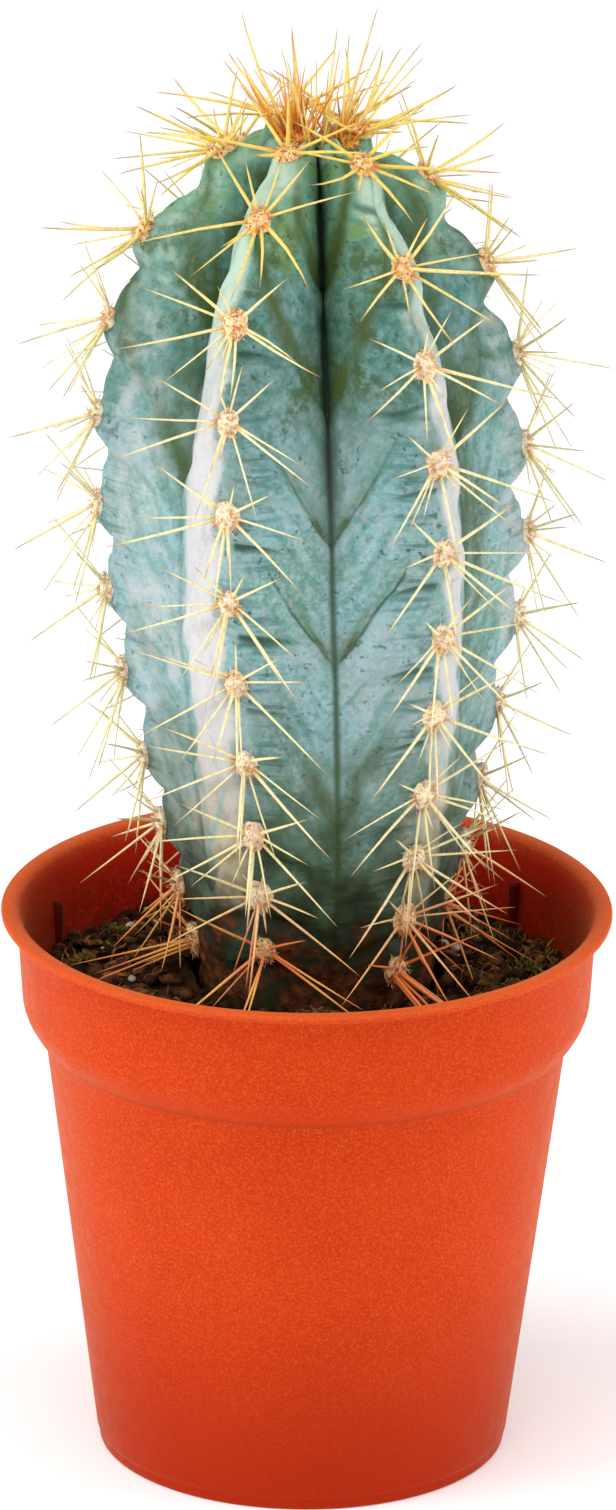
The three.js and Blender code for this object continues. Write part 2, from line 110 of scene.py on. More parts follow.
# Each band runs between two radii on the soil.
LITTER_BAND = (19.0, 37.5)
LUMP_TILT = 35
BARK_ROWS, BARK_SIDES = 7, 8
BARK_BAND = (20, 34)
BARK_LENGTHS = (2.2, 6.0)
BARK_WIDTHS = (1.2, 2.8)
BARK_THICKNESSES = (0.45, 1.1)
BARK_TILT = 40
BARK_LIFT = 0.55
FIBRE_STEPS = 8
FIBRE_LEAST = 4
FIBRE_SIDES = 5
FIBRE_BAND = (20, 35)
FIBRE_MARGIN = 0.2
FIBRE_LENGTHS = (2.5, 8)
FIBRE_RADII = (0.08, 0.2)
MOSS_STEMS = 26
MOSS_BAND = (26, 36)
MOSS_EDGE = 37
MOSS_HEIGHTS = (0.9, 2.0)
MOSS_RADII = (0.16, 0.24, 0.04)

# Stem: crest radius, crest height, groove radius and groove height, a row for each areole step.
STEM_ROWS = np.array([
    (9, 53, 9, 53), (15.6, 65.5, 15, 64.5), (17, 75, 16, 72.5), (19, 83, 17.6, 80),
    (21.1, 92.5, 19, 89), (23.3, 102.5, 20.2, 99), (25.9, 115, 21.4, 110.5), (28, 127, 22.2, 122),
    (28.9, 139.5, 22.3, 134), (28.8, 152.5, 21.4, 146.5), (27.1, 166, 18.4, 159),
    (22.6, 178.5, 12.6, 171.5), (12.4, 190.2, 6.3, 184), (4.8, 191.6, 2.4, 188.6),
    (0, 190.2, 0, 190.2),
])
BURIED_ROWS = 2
LAST_STEP = len(STEM_ROWS) - 1 - BURIED_ROWS
FOOT_DEPTH = 51.5
CROWN_HEIGHT = 190.2
RIBS = 6
RIB_AZIMUTH = -22.5
RIB_TURN = np.array([0, 2, 0, -1, 1, 0])
RIB_SWING = np.array([-1.5, -6, 0, 2, 0, 0])
RIB_SWING_STEPS = (4, 10)
RIB_DROOP = np.array([-1, 1.2, 2.6, 1.5, 0.4, -0.3])
RIB_DROOP_STEPS = (7, 9)
AREOLES = 11
STAGGER = 0.5
STEM_SHIFT = 1.3
SHIFT_ENDS = (85, 135)
CREST_ROUNDING = 0.12
FLANK_POWER = 1.15
CROWN_FLANK_POWER = 0.45
CROWN_FLANK_STEPS = (7, 10.5)
RIB_WOBBLE = 0.35
# How deeply each rib is notched, and its swelling: height, step and half width.
RIB_NOTCH = np.array([1, 1, 1.45, 1.2, 1, 1.2])
RIB_SWELL = np.array([
    (0, 5, 1), (0, 5, 1), (1.5, 5.1, 1.3), (0.4, 5, 2), (0.4, 6, 2), (0.7, 6.5, 2.5),
])
# How far the crest stands out, by the share of the way up from one areole to the next.
CRENATION = ((0, 0), (0.3, -0.55), (0.6, -1.3), (0.84, 0.35), (1, 0))

# Relief of the skin
# The skin's rings: the steps between which they lie, and how many there are in each stretch.
RING_STEPS = (-BURIED_ROWS, -0.3, AREOLES - 0.8, LAST_STEP - 0.05)
FOOT_RINGS, STEM_RINGS, CROWN_RINGS = 10, 535, 30
STEM_COLUMNS = 14
# Creases between two areoles: share of the way up, half width and strength.
FOLDS = ((0.6, 0.055, 1.0), (0.42, 0.036, 0.6), (0.24, 0.03, 0.4))
FOLD_PLACES = (0.06, 0.3)
FOLD_REACHES = (0.22, 0.42)
FOLD_SAG = 0.13
# Keeps the folds level where the rows of the skin fall towards the groove.
FOLD_LEVEL = 0.32
# How plain the folds are on each rib's left and right flank.
FOLD_SHARES = np.array([(0.25, 0.9), (0.75, 0.3), (0.6, 0.6), (0.6, 0.6), (0.6, 0.6), (0.6, 0.4)])
FOLD_DEPTH = 0.55
SKIN_LUMPS = ((0.3, 7.0, 0), (0.2, 2.6, 4))
# Dark smudges beside the areoles, low and high on the stem: half widths across and up, and strength.
SMUDGES = ((0.09, 0.15, 0.8), (0.13, 0.2, 0.8))
# Single olive patches: rib, step, way across, half height in steps, half width and strength.
PATCHES = (
    (1, 9.05, -0.34, 0.26, 0.15, 2.2), (1, 8.6, -0.52, 0.34, 0.12, 1.3), (1, 8.2, -0.8, 0.3, 0.12, 1.2),
    (1, 8.1, -0.55, 0.3, 0.1, 0.9), (0, 9.3, 0.36, 0.2, 0.14, 1.3), (0, 7.95, 0.65, 0.5, 0.12, 1.0),
    (0, 8.9, 0.12, 0.12, 0.14, 1.2), (5, 9.1, 0.3, 0.3, 0.12, 1.2), (5, 8.5, 0.62, 0.5, 0.1, 1.2),
    (5, 7.5, 0.75, 0.4, 0.08, 0.8), (5, 7.0, 0.2, 0.2, 0.1, 1.0), (2, 8.9, -0.3, 0.3, 0.14, 1.1),
    (2, 7.8, -0.4, 0.3, 0.14, 0.8),
)
CHEVRON_SPACING = 20.2
CHEVRON_FRONT = 118.0
CHEVRON_RISE = 24.5
CHEVRON_CURVE = 1.2
CHEVRON_DEPTH = 0.2
BROAD_CHEVRONS = (128, 150)
FRONT_GROOVE = 1
CHEVRON_OFFSETS = np.array([0.37, 0.0, 0.58, 0.21, 0.8, 0.45])
# The chevrons that meet in the front groove: number, height, thin line and broad band.
FRONT_CHEVRONS = np.array([
    (-2, 74, 0, 0.2), (-1, 98, 0.3, 0.8), (0, 122.3, 1, 0.35), (1, 140, 0.9, 0.35), (2, 158, 0.25, 1),
    (3, 173, 0.15, 1), (4, 190, 0, 1),
]).T
# How dark the painted shade along each groove is.
GROOVE_SHADES = np.array([0.35, 1.0, 0.6, 0.7, 0.7, 0.7])
# How plain the thin lines of the chevrons are in each groove.
CHEVRON_LINES = np.array([0.2, 1.0, 0.35, 0.5, 0.55, 0.35])
# Thick wax and painted highlight on each rib's left and right flank, brightest where a flank faces a
# side softbox: how white, and from where to where across.
WAX_AND_HIGHLIGHT = np.array([
    ((1.0, 0.16, 0.97), (0.05, 0.0, 0.25)), ((0.12, 0.0, 0.35), (0.9, 0.1, 0.75)),
    ((0.35, 0.0, 0.5), (0.4, 0.0, 0.5)), ((0.35, 0.0, 0.4), (0.6, 0.1, 0.6)),
    ((0.4, 0.0, 0.5), (0.55, 0.1, 0.5)), ((0.4, 0.0, 0.5), (0.34, 0.2, 0.97)),
])
# Single waxy patches, partly painted highlights such as the lit top of a rib near the crown: rib, step,
# way across, half height in steps, half width and strength.
WAX_AND_HIGHLIGHT_PATCHES = (
    (0, 10.15, 0.15, 0.4, 0.36, 1.0), (1, 9.65, -0.12, 0.36, 0.2, 0.95), (1, 8.4, -0.04, 0.5, 0.1, 0.5),
    (2, 9.4, -0.2, 0.6, 0.3, 0.45), (0, 2.6, -0.9, 1.0, 0.25, 0.8), (5, 2.5, 0.85, 1.0, 0.2, 0.7),
    (5, 5.0, 0.8, 1.5, 0.3, 0.45), (1, 2.4, -0.1, 0.8, 0.16, 0.5), (1, 7.0, -0.04, 0.8, 0.08, 0.4),
)
# Olive stain beside the grooves, on each rib's left and right flank: strength, lowest and highest step.
STAIN = np.array([
    ((0.35, 7, 12), (0.45, 7.5, 12)), ((0.5, 7, 12), (0.7, 5.5, 12)), ((0.8, 5, 12), (0.4, 4, 10)),
    ((0.5, 3, 9), (0.6, 5, 11)), ((0.6, 4, 10), (0.5, 6, 12)), ((0.3, 5, 11), (0.9, 7.8, 11)),
])

# Spines: turn from straight down the rib, lift off the skin, length, and root spread.
MAIN_CLUSTER = (
    (0, 20, 13.5, 0.8), (62, 20, 16.5, 0.8), (-62, 20, 16, 0.8), (128, 24, 12, 0.8),
    (-128, 24, 12, 0.8), (25, 64, 14, 0),
)
TURN_JITTER = 16
LIFT_JITTER = 12
LENGTH_JITTER = 0.22
FINE_CLUSTER = (
    (-31, 26, 13, 1.1), (33, 24, 12.5, 1.1), (95, 22, 13.5, 1.0), (-96, 22, 13, 1.0),
    (158, 30, 8.5, 1.0), (-160, 34, 6, 1.1), (12, 38, 5.5, 0.9), (-16, 14, 6.5, 1.2),
)
MAIN_RADII = (0.2, 0.27)
FINE_RADII = (0.15, 0.21)
ROOT_OUT = 0.3
SOIL_CLEARANCE = 2.4
LIFT_STEP = 6
LENGTH_STEP = 0.4
SPINE_SINK = 0.5
SPINE_SIDES = 6
# Share of the way along a spine, and its thickness there.
SPINE_STATIONS = (
    (0, 1.5), (0.05, 1.3), (0.14, 1.0), (0.45, 0.82), (0.8, 0.5), (0.95, 0.22), (1, 0.03),
)
# How far a tip may stand out from the pot's axis, beside the pot and above it, and how high.
REACH_IN_POT = 36.5
REACH_ABOVE = 42.0
ABOVE_POT = 82.0
TOP_LIMIT = 209.0
CROWN_SPINES = (
    (120, 16, 19.2, 4), (100, 3, 15.5, 3.5), (-90, 4, 15.5, 2.2), (95, 36, 17.5, 4),
    (84, 62, 12, 4.4), (-95, 39, 14.3, 4), (-160, 30, 15, 4), (165, 34, 15, 3.6),
)
TUFT_SPINES = 16
TUFT_RADIUS = 3.6
TUFT_TILT = 34
TUFT_LENGTHS = (8, 15)
TUFT_SINK = 1.2
GOLDEN_ANGLE = 137.5
# The rib whose highest areole is part of a bunch, and has no fine spines of its own.
BUNCHED_RIB = 0
# The bunches of young spines in the crown: azimuth and radius of the root, number, lengths and fan.
CROWN_BUNCHES = ((-85, 3.0, 64, (3.0, 11.0), 0.3), (95, 3.9, 34, (2.0, 7.0), 0.42))

# Wool: width, height and depth of a cushion, and how many hairs it has.
CUSHION = np.array([3.3, 4.3, 1.2])
CUSHION_HAIRS = 70
BUNCH_CUSHION = (4.6, 4.0, 2.0)
BUNCH_HAIRS = 220
HAIR_LENGTHS = (0.4, 1.1)
HAIR_RADII = (0.07, 0.06, 0.02)

# Stage, in metres
SENSOR = 36.0
CAMERA_SIDEWAYS = -0.00013
CLIP_END = 20
FLOOR_HALF = 3.0
SOFTBOX_AIM = (0, 0, 0.1)
# Name, place, size and setting of each softbox.
SOFTBOXES = (
    ("left_softbox", (-1.1, -0.35, 0.65), (0.8, 1.1), "left_power"),
    ("right_softbox", (1.15, -0.15, 0.55), (0.8, 1.1), "right_power"),
    ("top_softbox", (-0.2, -0.5, 1.35), (0.9, 0.9), "top_power"),
)

# Behind the repeatable draws
DRAW_SCALES = (12.9898, 78.233, 37.719)
DRAW_SPREAD = 43758.5453


def draw(a, b, c):
    """A repeatable draw between 0 and 1 that three whole numbers fix."""
    value = math.sin(DRAW_SCALES[0] * a + DRAW_SCALES[1] * b + DRAW_SCALES[2] * c) * DRAW_SPREAD
    return value - math.floor(value)


def lerp(low, high, share):
    return low + (high - low) * share


def smooth(value, low, high):
    share = np.clip((value - low) / (high - low), 0, 1)
    return share * share * (3 - 2 * share)


def bell(value, width):
    return np.exp(-(value / width) ** 2)


def outward(azimuth):
    """The horizontal unit vector at an azimuth in degrees."""
    angle = np.radians(azimuth)
    return np.stack([np.sin(angle), -np.cos(angle), np.zeros_like(angle)], -1)


def unit(vector):
    return vector / np.linalg.norm(vector, axis=-1, keepdims=True)


def catmull_rom(points, at):
    """The places and the directions of a smooth curve through points, counted in rows."""
    at = np.clip(at, 0, len(points) - 1)
    row = np.minimum(at.astype(int), len(points) - 2)
    t = (at - row)[..., None]
    before, start, end, after = (points[np.clip(row + k, 0, len(points) - 1)] for k in (-1, 0, 1, 2))
    leave, arrive = (end - before) / 2, (after - start) / 2
    cubic = 2 * start - 2 * end + leave + arrive
    square = -3 * start + 3 * end - 2 * leave - arrive
    place = ((cubic * t + square) * t + leave) * t + start
    return place, unit((3 * cubic * t + 2 * square) * t + leave)


# Stem shape


def crenation(share):
    """The crest's relief at a share of the way from one areole to the next, smoothly joined."""
    shares, outs = np.array(CRENATION).T
    ends = np.r_[shares[-2] - 1, shares, shares[1] + 1]
    slopes = np.gradient(np.r_[outs[-2], outs, outs[1]], ends)[1:-1]
    row = np.clip(np.searchsorted(shares, share, side="right") - 1, 0, len(shares) - 2)
    width = shares[row + 1] - shares[row]
    t = (share - shares[row]) / width
    rise = outs[row + 1] - outs[row]
    a = slopes[row] * width - rise
    b = rise - slopes[row + 1] * width
    return lerp(outs[row], outs[row + 1], t) + t * (1 - t) * (a * (1 - t) + b * t)


def rib_phase(rib):
    """Every second rib carries its areoles half a step higher."""
    return np.where(rib % 2 == 0, STAGGER, 0)


def rib_azimuth(rib, step):
    swing = RIB_SWING[rib] * smooth(step, *RIB_SWING_STEPS)
    return RIB_AZIMUTH + rib * (360 / RIBS) + RIB_TURN[rib] + swing


def shift_at(height):
    return STEM_SHIFT * (1 - smooth(height, *SHIFT_ENDS))


def crest(rib, step):
    """Radius and height of a rib's crest, with the directions out of it and up along it."""
    point, up = catmull_rom(STEM_ROWS[:, :2], step + BURIED_ROWS)
    out = np.stack([up[..., 1], -up[..., 0]], -1)
    fade = smooth(step, -1, 0.5) * (1 - smooth(step, LAST_STEP - 1.2, LAST_STEP))
    share = (step - rib_phase(rib)) % 1
    swell, swell_step, swell_width = np.moveaxis(RIB_SWELL[rib], -1, 0)
    relief = RIB_WOBBLE * np.sin(2.3 * rib + 1.1 * step) + swell * bell(step - swell_step, swell_width)
    relief = relief + RIB_NOTCH[rib] * crenation(share)
    point = point + out * (fade * relief)[..., None]
    point[..., 0] -= fade * RIB_DROOP[rib] * smooth(step, *RIB_DROOP_STEPS)
    return point, out, up


def skin_points(ring, rib, across):
    """Points of the skin: ring step, rib, and the way across from crest (0) to groove (-1 or 1)."""
    low = np.clip((ring + BURIED_ROWS) / BURIED_ROWS, 0, 1)
    high = np.clip((LAST_STEP - ring) / (LAST_STEP - AREOLES + 1), 0, 1)
    span = np.abs(across)
    step = ring + lerp(rib_phase(rib), STAGGER / 2, span) * np.minimum(low, high)
    groove, _ = catmull_rom(STEM_ROWS[:, 2:], step + BURIED_ROWS)
    rounded = np.hypot(span, CREST_ROUNDING) - CREST_ROUNDING
    full = math.hypot(1, CREST_ROUNDING) - CREST_ROUNDING
    power = lerp(FLANK_POWER, CROWN_FLANK_POWER, smooth(step, *CROWN_FLANK_STEPS))
    weight = np.maximum(1 - rounded / full, 0) ** power
    place = lerp(groove, crest(rib, step)[0], weight[..., None])
    side = np.sign(across).astype(int)
    neighbour = (rib + side) % RIBS
    away = rib_azimuth(neighbour, step) - rib_azimuth(rib, step)
    away = away + 360 * np.round((side * (360 / RIBS) - away) / 360)
    azimuth = rib_azimuth(rib, step) + away / 2 * span
    points = outward(azimuth) * place[..., :1]
    points[..., 0] += shift_at(place[..., 1])
    points[..., 2] = place[..., 1]
    return points, step


def areole_frame(rib, areole):
    """The place of an areole and the directions out of the skin, up the rib and to the side."""
    step = np.array(areole + rib_phase(rib), float)
    azimuth = rib_azimuth(rib, step)
    (radius, height), out, up = crest(rib, step)
    level = np.array([0, 0, 1])
    place = outward(azimuth) * radius + level * height
    place[0] += shift_at(height)
    out = outward(azimuth) * out[0] + level * out[1]
    up = outward(azimuth) * up[0] + level * up[1]
    return place, out, up, np.cross(up, out)


def soil_height(x, y):
    share = np.clip((np.hypot(x, y) - 17) / 21, 0, 1)
    waves = 0.7 * np.sin(0.33 * x + 1.3) * np.cos(0.29 * y - 0.4)
    ripples = 0.45 * np.sin(0.71 * x - 0.9 * y + 2) + 0.3 * np.sin(1.3 * x + 0.8 * y)
    return lerp(SOIL_AT_STEM, SOIL_AT_WALL, share) + waves + ripples


def noise_field(points, size, seed=0.0):
    """Smooth noise between about -1 and 1 at points, with lumps of a size in millimetres."""
    flat = points.reshape(-1, 3) / size + seed
    values = [noise.noise(Vector(point)) for point in flat]
    return np.array(values).reshape(points.shape[:-1])


def layered_noise(points, layers):
    """The sum of several fields of noise, each with its height, size and seed."""
    return sum(height * noise_field(points, size, seed) for height, size, seed in layers)


# Meshes


def add_piece(name, points, faces, material, replaced=None, values=None, flat=False):
    """Makes a piece from points in millimetres, with named values at its points, in its place."""
    mesh = bpy.data.meshes.new(name)
    mesh.from_pydata((np.asarray(points).reshape(-1, 3) * MM).tolist(), [], faces)
    mesh.polygons.foreach_set("use_smooth", [not flat] * len(mesh.polygons))
    for label, numbers in (values or {}).items():
        layer = mesh.attributes.new(label, "FLOAT", "POINT")
        layer.data.foreach_set("value", np.asarray(numbers, np.float32).ravel())
    mesh.validate()
    mesh.materials.append(material)
    piece = bpy.data.objects.new(name, mesh)
    bpy.context.scene.collection.objects.link(piece)
    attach(piece, BODY)
    if replaced:
        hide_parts(replaced)
    return piece


def grid_faces(rings, sides):
    """Quads between rings of equal length that close round."""
    ring, side = np.meshgrid(np.arange(rings - 1) * sides, np.arange(sides), indexing="ij")
    after = (side + 1) % sides
    corners = [ring + side, ring + after, ring + sides + after, ring + sides + side]
    return np.stack(corners, -1).reshape(-1, 4).tolist()


def fanned_faces(rings, sides):
    """The same with a fan at both ends, to two middle points that follow the rings' points."""
    middle, last = rings * sides, (rings - 1) * sides
    pairs = [(side, (side + 1) % sides) for side in range(sides)]
    faces = grid_faces(rings, sides) + [(middle, b, a) for a, b in pairs]
    return faces + [(middle + 1, last + a, last + b) for a, b in pairs]


def capped_faces(rings, sides):
    """The same quads with a flat cap at both ends."""
    caps = [tuple(range(sides))[::-1], tuple(range((rings - 1) * sides, rings * sides))]
    return grid_faces(rings, sides) + caps


class Bundle:
    """Many small shapes gathered in one mesh."""

    def __init__(self, *labels):
        self.points, self.faces, self.count = [], [], 0
        self.values = {label: [] for label in labels}

    def add(self, points, faces, **values):
        self.faces += [tuple(corner + self.count for corner in face) for face in faces]
        self.points.append(points)
        self.count += len(points)
        for label, numbers in values.items():
            self.values[label].append(np.broadcast_to(numbers, len(points)))

    def piece(self, name, material, slot, replaced=None, flat=False):
        values = {label: np.concatenate(numbers) for label, numbers in self.values.items()}
        points = np.concatenate(self.points)
        return add_piece(name, points, self.faces, material, replaced, values, flat)


def tube(path, radii, sides):
    """Points and faces of a closed tube along a path, with a radius at each point of it."""
    path = np.asarray(path, float)
    ahead = unit(np.gradient(path, axis=0))
    guide = np.array([0, 0, 1.0]) if abs(ahead[0][2]) < 0.9 else np.array([1.0, 0, 0])
    across = unit(np.cross(ahead, guide))
    over = np.cross(ahead, across)
    turn = np.arange(sides) * 2 * math.pi / sides
    cosine, sine = np.cos(turn)[None, :, None], np.sin(turn)[None, :, None]
    ring = across[:, None] * cosine + over[:, None] * sine
    points = (path[:, None] + ring * np.asarray(radii)[:, None, None]).reshape(-1, 3)
    return points, capped_faces(len(path), sides)


@functools.cache
def ball(level):
    """The points and triangles of a unit ball, made once for each level."""
    shape = bmesh.new()
    bmesh.ops.create_icosphere(shape, subdivisions=level, radius=1)
    points = np.array([vertex.co for vertex in shape.verts])
    faces = [tuple(vertex.index for vertex in face.verts) for face in shape.faces]
    shape.free()
    return points, faces


# Finishes


class Finish:
    """A node material and short calls for the nodes that it is made of."""

    def __init__(self, name, roughness, **constants):
        self.material = bpy.data.materials.new(name)
        self.material.use_nodes = True
        self.tree = self.material.node_tree
        self.shader = self.tree.nodes["Principled BSDF"]
        self.set(Roughness=roughness, **constants)
        self.place = self.node("ShaderNodeTexCoord").outputs["Object"]

    def node(self, kind, inputs=(), **settings):
        made = self.tree.nodes.new(kind)
        for key, value in settings.items():
            setattr(made, key, value)
        for key, value in dict(inputs).items():
            self.feed(made.inputs[key], value)
        return made

    def feed(self, socket, value):
        if isinstance(value, bpy.types.NodeSocket):
            self.tree.links.new(value, socket)
        elif socket.type == "RGBA":
            socket.default_value = (*value, 1)
        else:
            socket.default_value = value

    def set(self, **values):
        for key, value in values.items():
            self.feed(self.shader.inputs[key.replace("_", " ")], value)

    def value(self, label):
        return self.node("ShaderNodeAttribute", attribute_name=label).outputs["Fac"]

    def height(self):
        return self.node("ShaderNodeSeparateXYZ", {"Vector": self.place}).outputs["Z"]

    def math(self, operation, a, b=0.0):
        return self.node("ShaderNodeMath", {0: a, 1: b}, operation=operation).outputs[0]

    def product(self, *shares):
        return functools.reduce(lambda a, b: self.math("MULTIPLY", a, b), shares)

    def ramp(self, value, low, high, start=0.0, end=1.0):
        """The value from low to high, smoothly turned into start to end."""
        inputs = {"Value": value, "From Min": low, "From Max": high, "To Min": start, "To Max": end}
        return self.node("ShaderNodeMapRange", inputs, interpolation_type="SMOOTHSTEP").outputs[0]

    def band(self, value, middle, width):
        """1 at a value's middle, fading to 0 a width away on both sides."""
        away = self.math("ABSOLUTE", self.math("SUBTRACT", value, middle))
        return self.ramp(away, 0.0, width, 1.0, 0.0)

    def lumps(self, size, detail=3.0, roughness=0.55, stretch=None):
        """Noise with lumps of a size in millimetres."""
        place = self.place
        if stretch:
            place = self.node("ShaderNodeMapping", {"Vector": place, "Scale": stretch}).outputs[0]
        scale = 1 / (size * MM)
        inputs = {"Vector": place, "Scale": scale, "Detail": detail, "Roughness": roughness}
        return self.node("ShaderNodeTexNoise", inputs).outputs["Fac"]

    def mix(self, share, low, high):
        mixer = self.node("ShaderNodeMix", data_type="RGBA")
        self.feed(mixer.inputs[0], share)
        self.feed(mixer.inputs[6], low)
        self.feed(mixer.inputs[7], high)
        return mixer.outputs[2]

    def paint(self, share, colour):
        """Lays a colour over a share of what is painted so far."""
        self.colour = self.mix(share, self.colour, colour)
        self.set(Base_Color=self.colour)

    def bump(self, height, depth, strength=1.0):
        """Raises the surface by a height of 0 to 1, at a depth in millimetres."""
        inputs = {"Height": height, "Distance": depth * MM, "Strength": strength}
        below = self.shader.inputs["Normal"]
        if below.links:
            inputs["Normal"] = below.links[0].from_socket
        self.feed(below, self.node("ShaderNodeBump", inputs).outputs[0])


def srgb(red, green, blue):
    """A colour of the picture, as 0 to 255 values, in the linear values that shaders use."""
    shares = [value / 255 for value in (red, green, blue)]
    return tuple(v / 12.92 if v <= 0.04045 else ((v + 0.055) / 1.055) ** 2.4 for v in shares)


def pot_finish(colours):
    """Satin moulded plastic: fine grain, faint blotches and dust inside above the soil, with painted
    shade inside, under the collar, on the lugs and towards the foot, and a painted highlight on the
    lip.
    """
    finish = Finish(
        "terracotta_plastic", 0.5, IOR=1.5, Specular_IOR_Level=0.06, Sheen_Weight=0.2,
        Sheen_Roughness=0.4, Sheen_Tint=(0.98, 0.6, 0.2),
    )
    height, inside = finish.height(), finish.value("inside")
    paint, ramp, product = finish.paint, finish.ramp, finish.product
    blotches, grain, speckle = finish.lumps(14, 3), finish.lumps(0.34, 2), finish.lumps(0.5, 3, 0.7)
    finish.colour = colours.pot_colour
    paint(ramp(blotches, 0.35, 0.7), colours.pot_shade)
    paint(ramp(speckle, 0.4, 0.6, 0.42, 0.0), srgb(178, 50, 12))
    paint(ramp(grain, 0.46, 0.68, 0.0, 0.34), colours.pot_grain)
    # Painted shade: darker towards the foot of the pot.
    paint(ramp(height, 0.0, 0.04, 0.9, 0.0), srgb(166, 36, 4))
    # Painted shade on the slope under the collar and in the line at its foot, and a painted highlight
    # along the top of the lip.
    slope = product(ramp(height, 0.0606, 0.0614), ramp(height, 0.0614, 0.0652, 1.0, 0.0))
    paint(product(slope, 0.4), srgb(194, 46, 4))
    paint(product(finish.band(height, 0.0609, 0.0009), 0.5), srgb(150, 32, 2))
    # Painted highlight along the top of the lip.
    paint(ramp(height, 0.0778, 0.0789, 0.0, 0.24), srgb(236, 128, 66))
    # Painted shade inside the pot, lighter towards the lip.
    shaded = finish.mix(ramp(speckle, 0.36, 0.64), srgb(150, 16, 10), srgb(208, 30, 18))
    shaded = finish.mix(ramp(height, 0.07, 0.0785, 0.0, 0.8), shaded, srgb(232, 40, 22))
    inner_shade_share = product(ramp(inside, 0.0, 1.0), ramp(height, 0.0765, 0.0785, 0.85, 0.1))
    paint(inner_shade_share, shaded)
    dusty = ramp(finish.lumps(3, 5), 0.46, 0.7, 0.0, 0.6)
    dust = product(inside, dusty, ramp(height, 0.0655, 0.0745, 1.0, 0.1))
    paint(dust, srgb(76, 22, 14))
    # Painted shade on the lugs inside the collar.
    paint(ramp(inside, 1.2, 2.0, 0.0, 0.8), srgb(70, 16, 6))
    finish.set(Roughness=ramp(finish.lumps(2.2, 4), 0.3, 0.7, 0.42, 0.56))
    finish.bump(grain, 0.07, 0.6)
    finish.bump(finish.lumps(5, 2), 0.1, 0.4)
    return finish.material


def soil_finish():
    """Dark damp peat."""
    finish = Finish("damp_peat", 0.95, Specular_IOR_Level=0.1)
    finish.colour = srgb(20, 10, 4)
    finish.paint(finish.ramp(finish.lumps(1.6, 6), 0.35, 0.7), srgb(66, 38, 18))
    finish.paint(finish.ramp(finish.lumps(5, 4), 0.5, 0.75, 0.0, 0.6), srgb(62, 50, 22))
    finish.bump(finish.lumps(0.7, 6), 0.7, 0.9)
    return finish.material


def litter_finish(name, light, dark, size):
    """A speckled finish for the loose bits, lighter or darker from bit to bit."""
    finish = Finish(name, 0.85, Specular_IOR_Level=0.15)
    speckles = finish.ramp(finish.lumps(size, 5), 0.3, 0.72)
    tone = finish.ramp(finish.value("tone"), 0.0, 1.0, 0.35, 1.6)
    finish.colour = dark
    finish.paint(finish.product(speckles, tone), light)
    finish.bump(finish.lumps(size / 2, 5), 0.25, 0.8)
    return finish.material


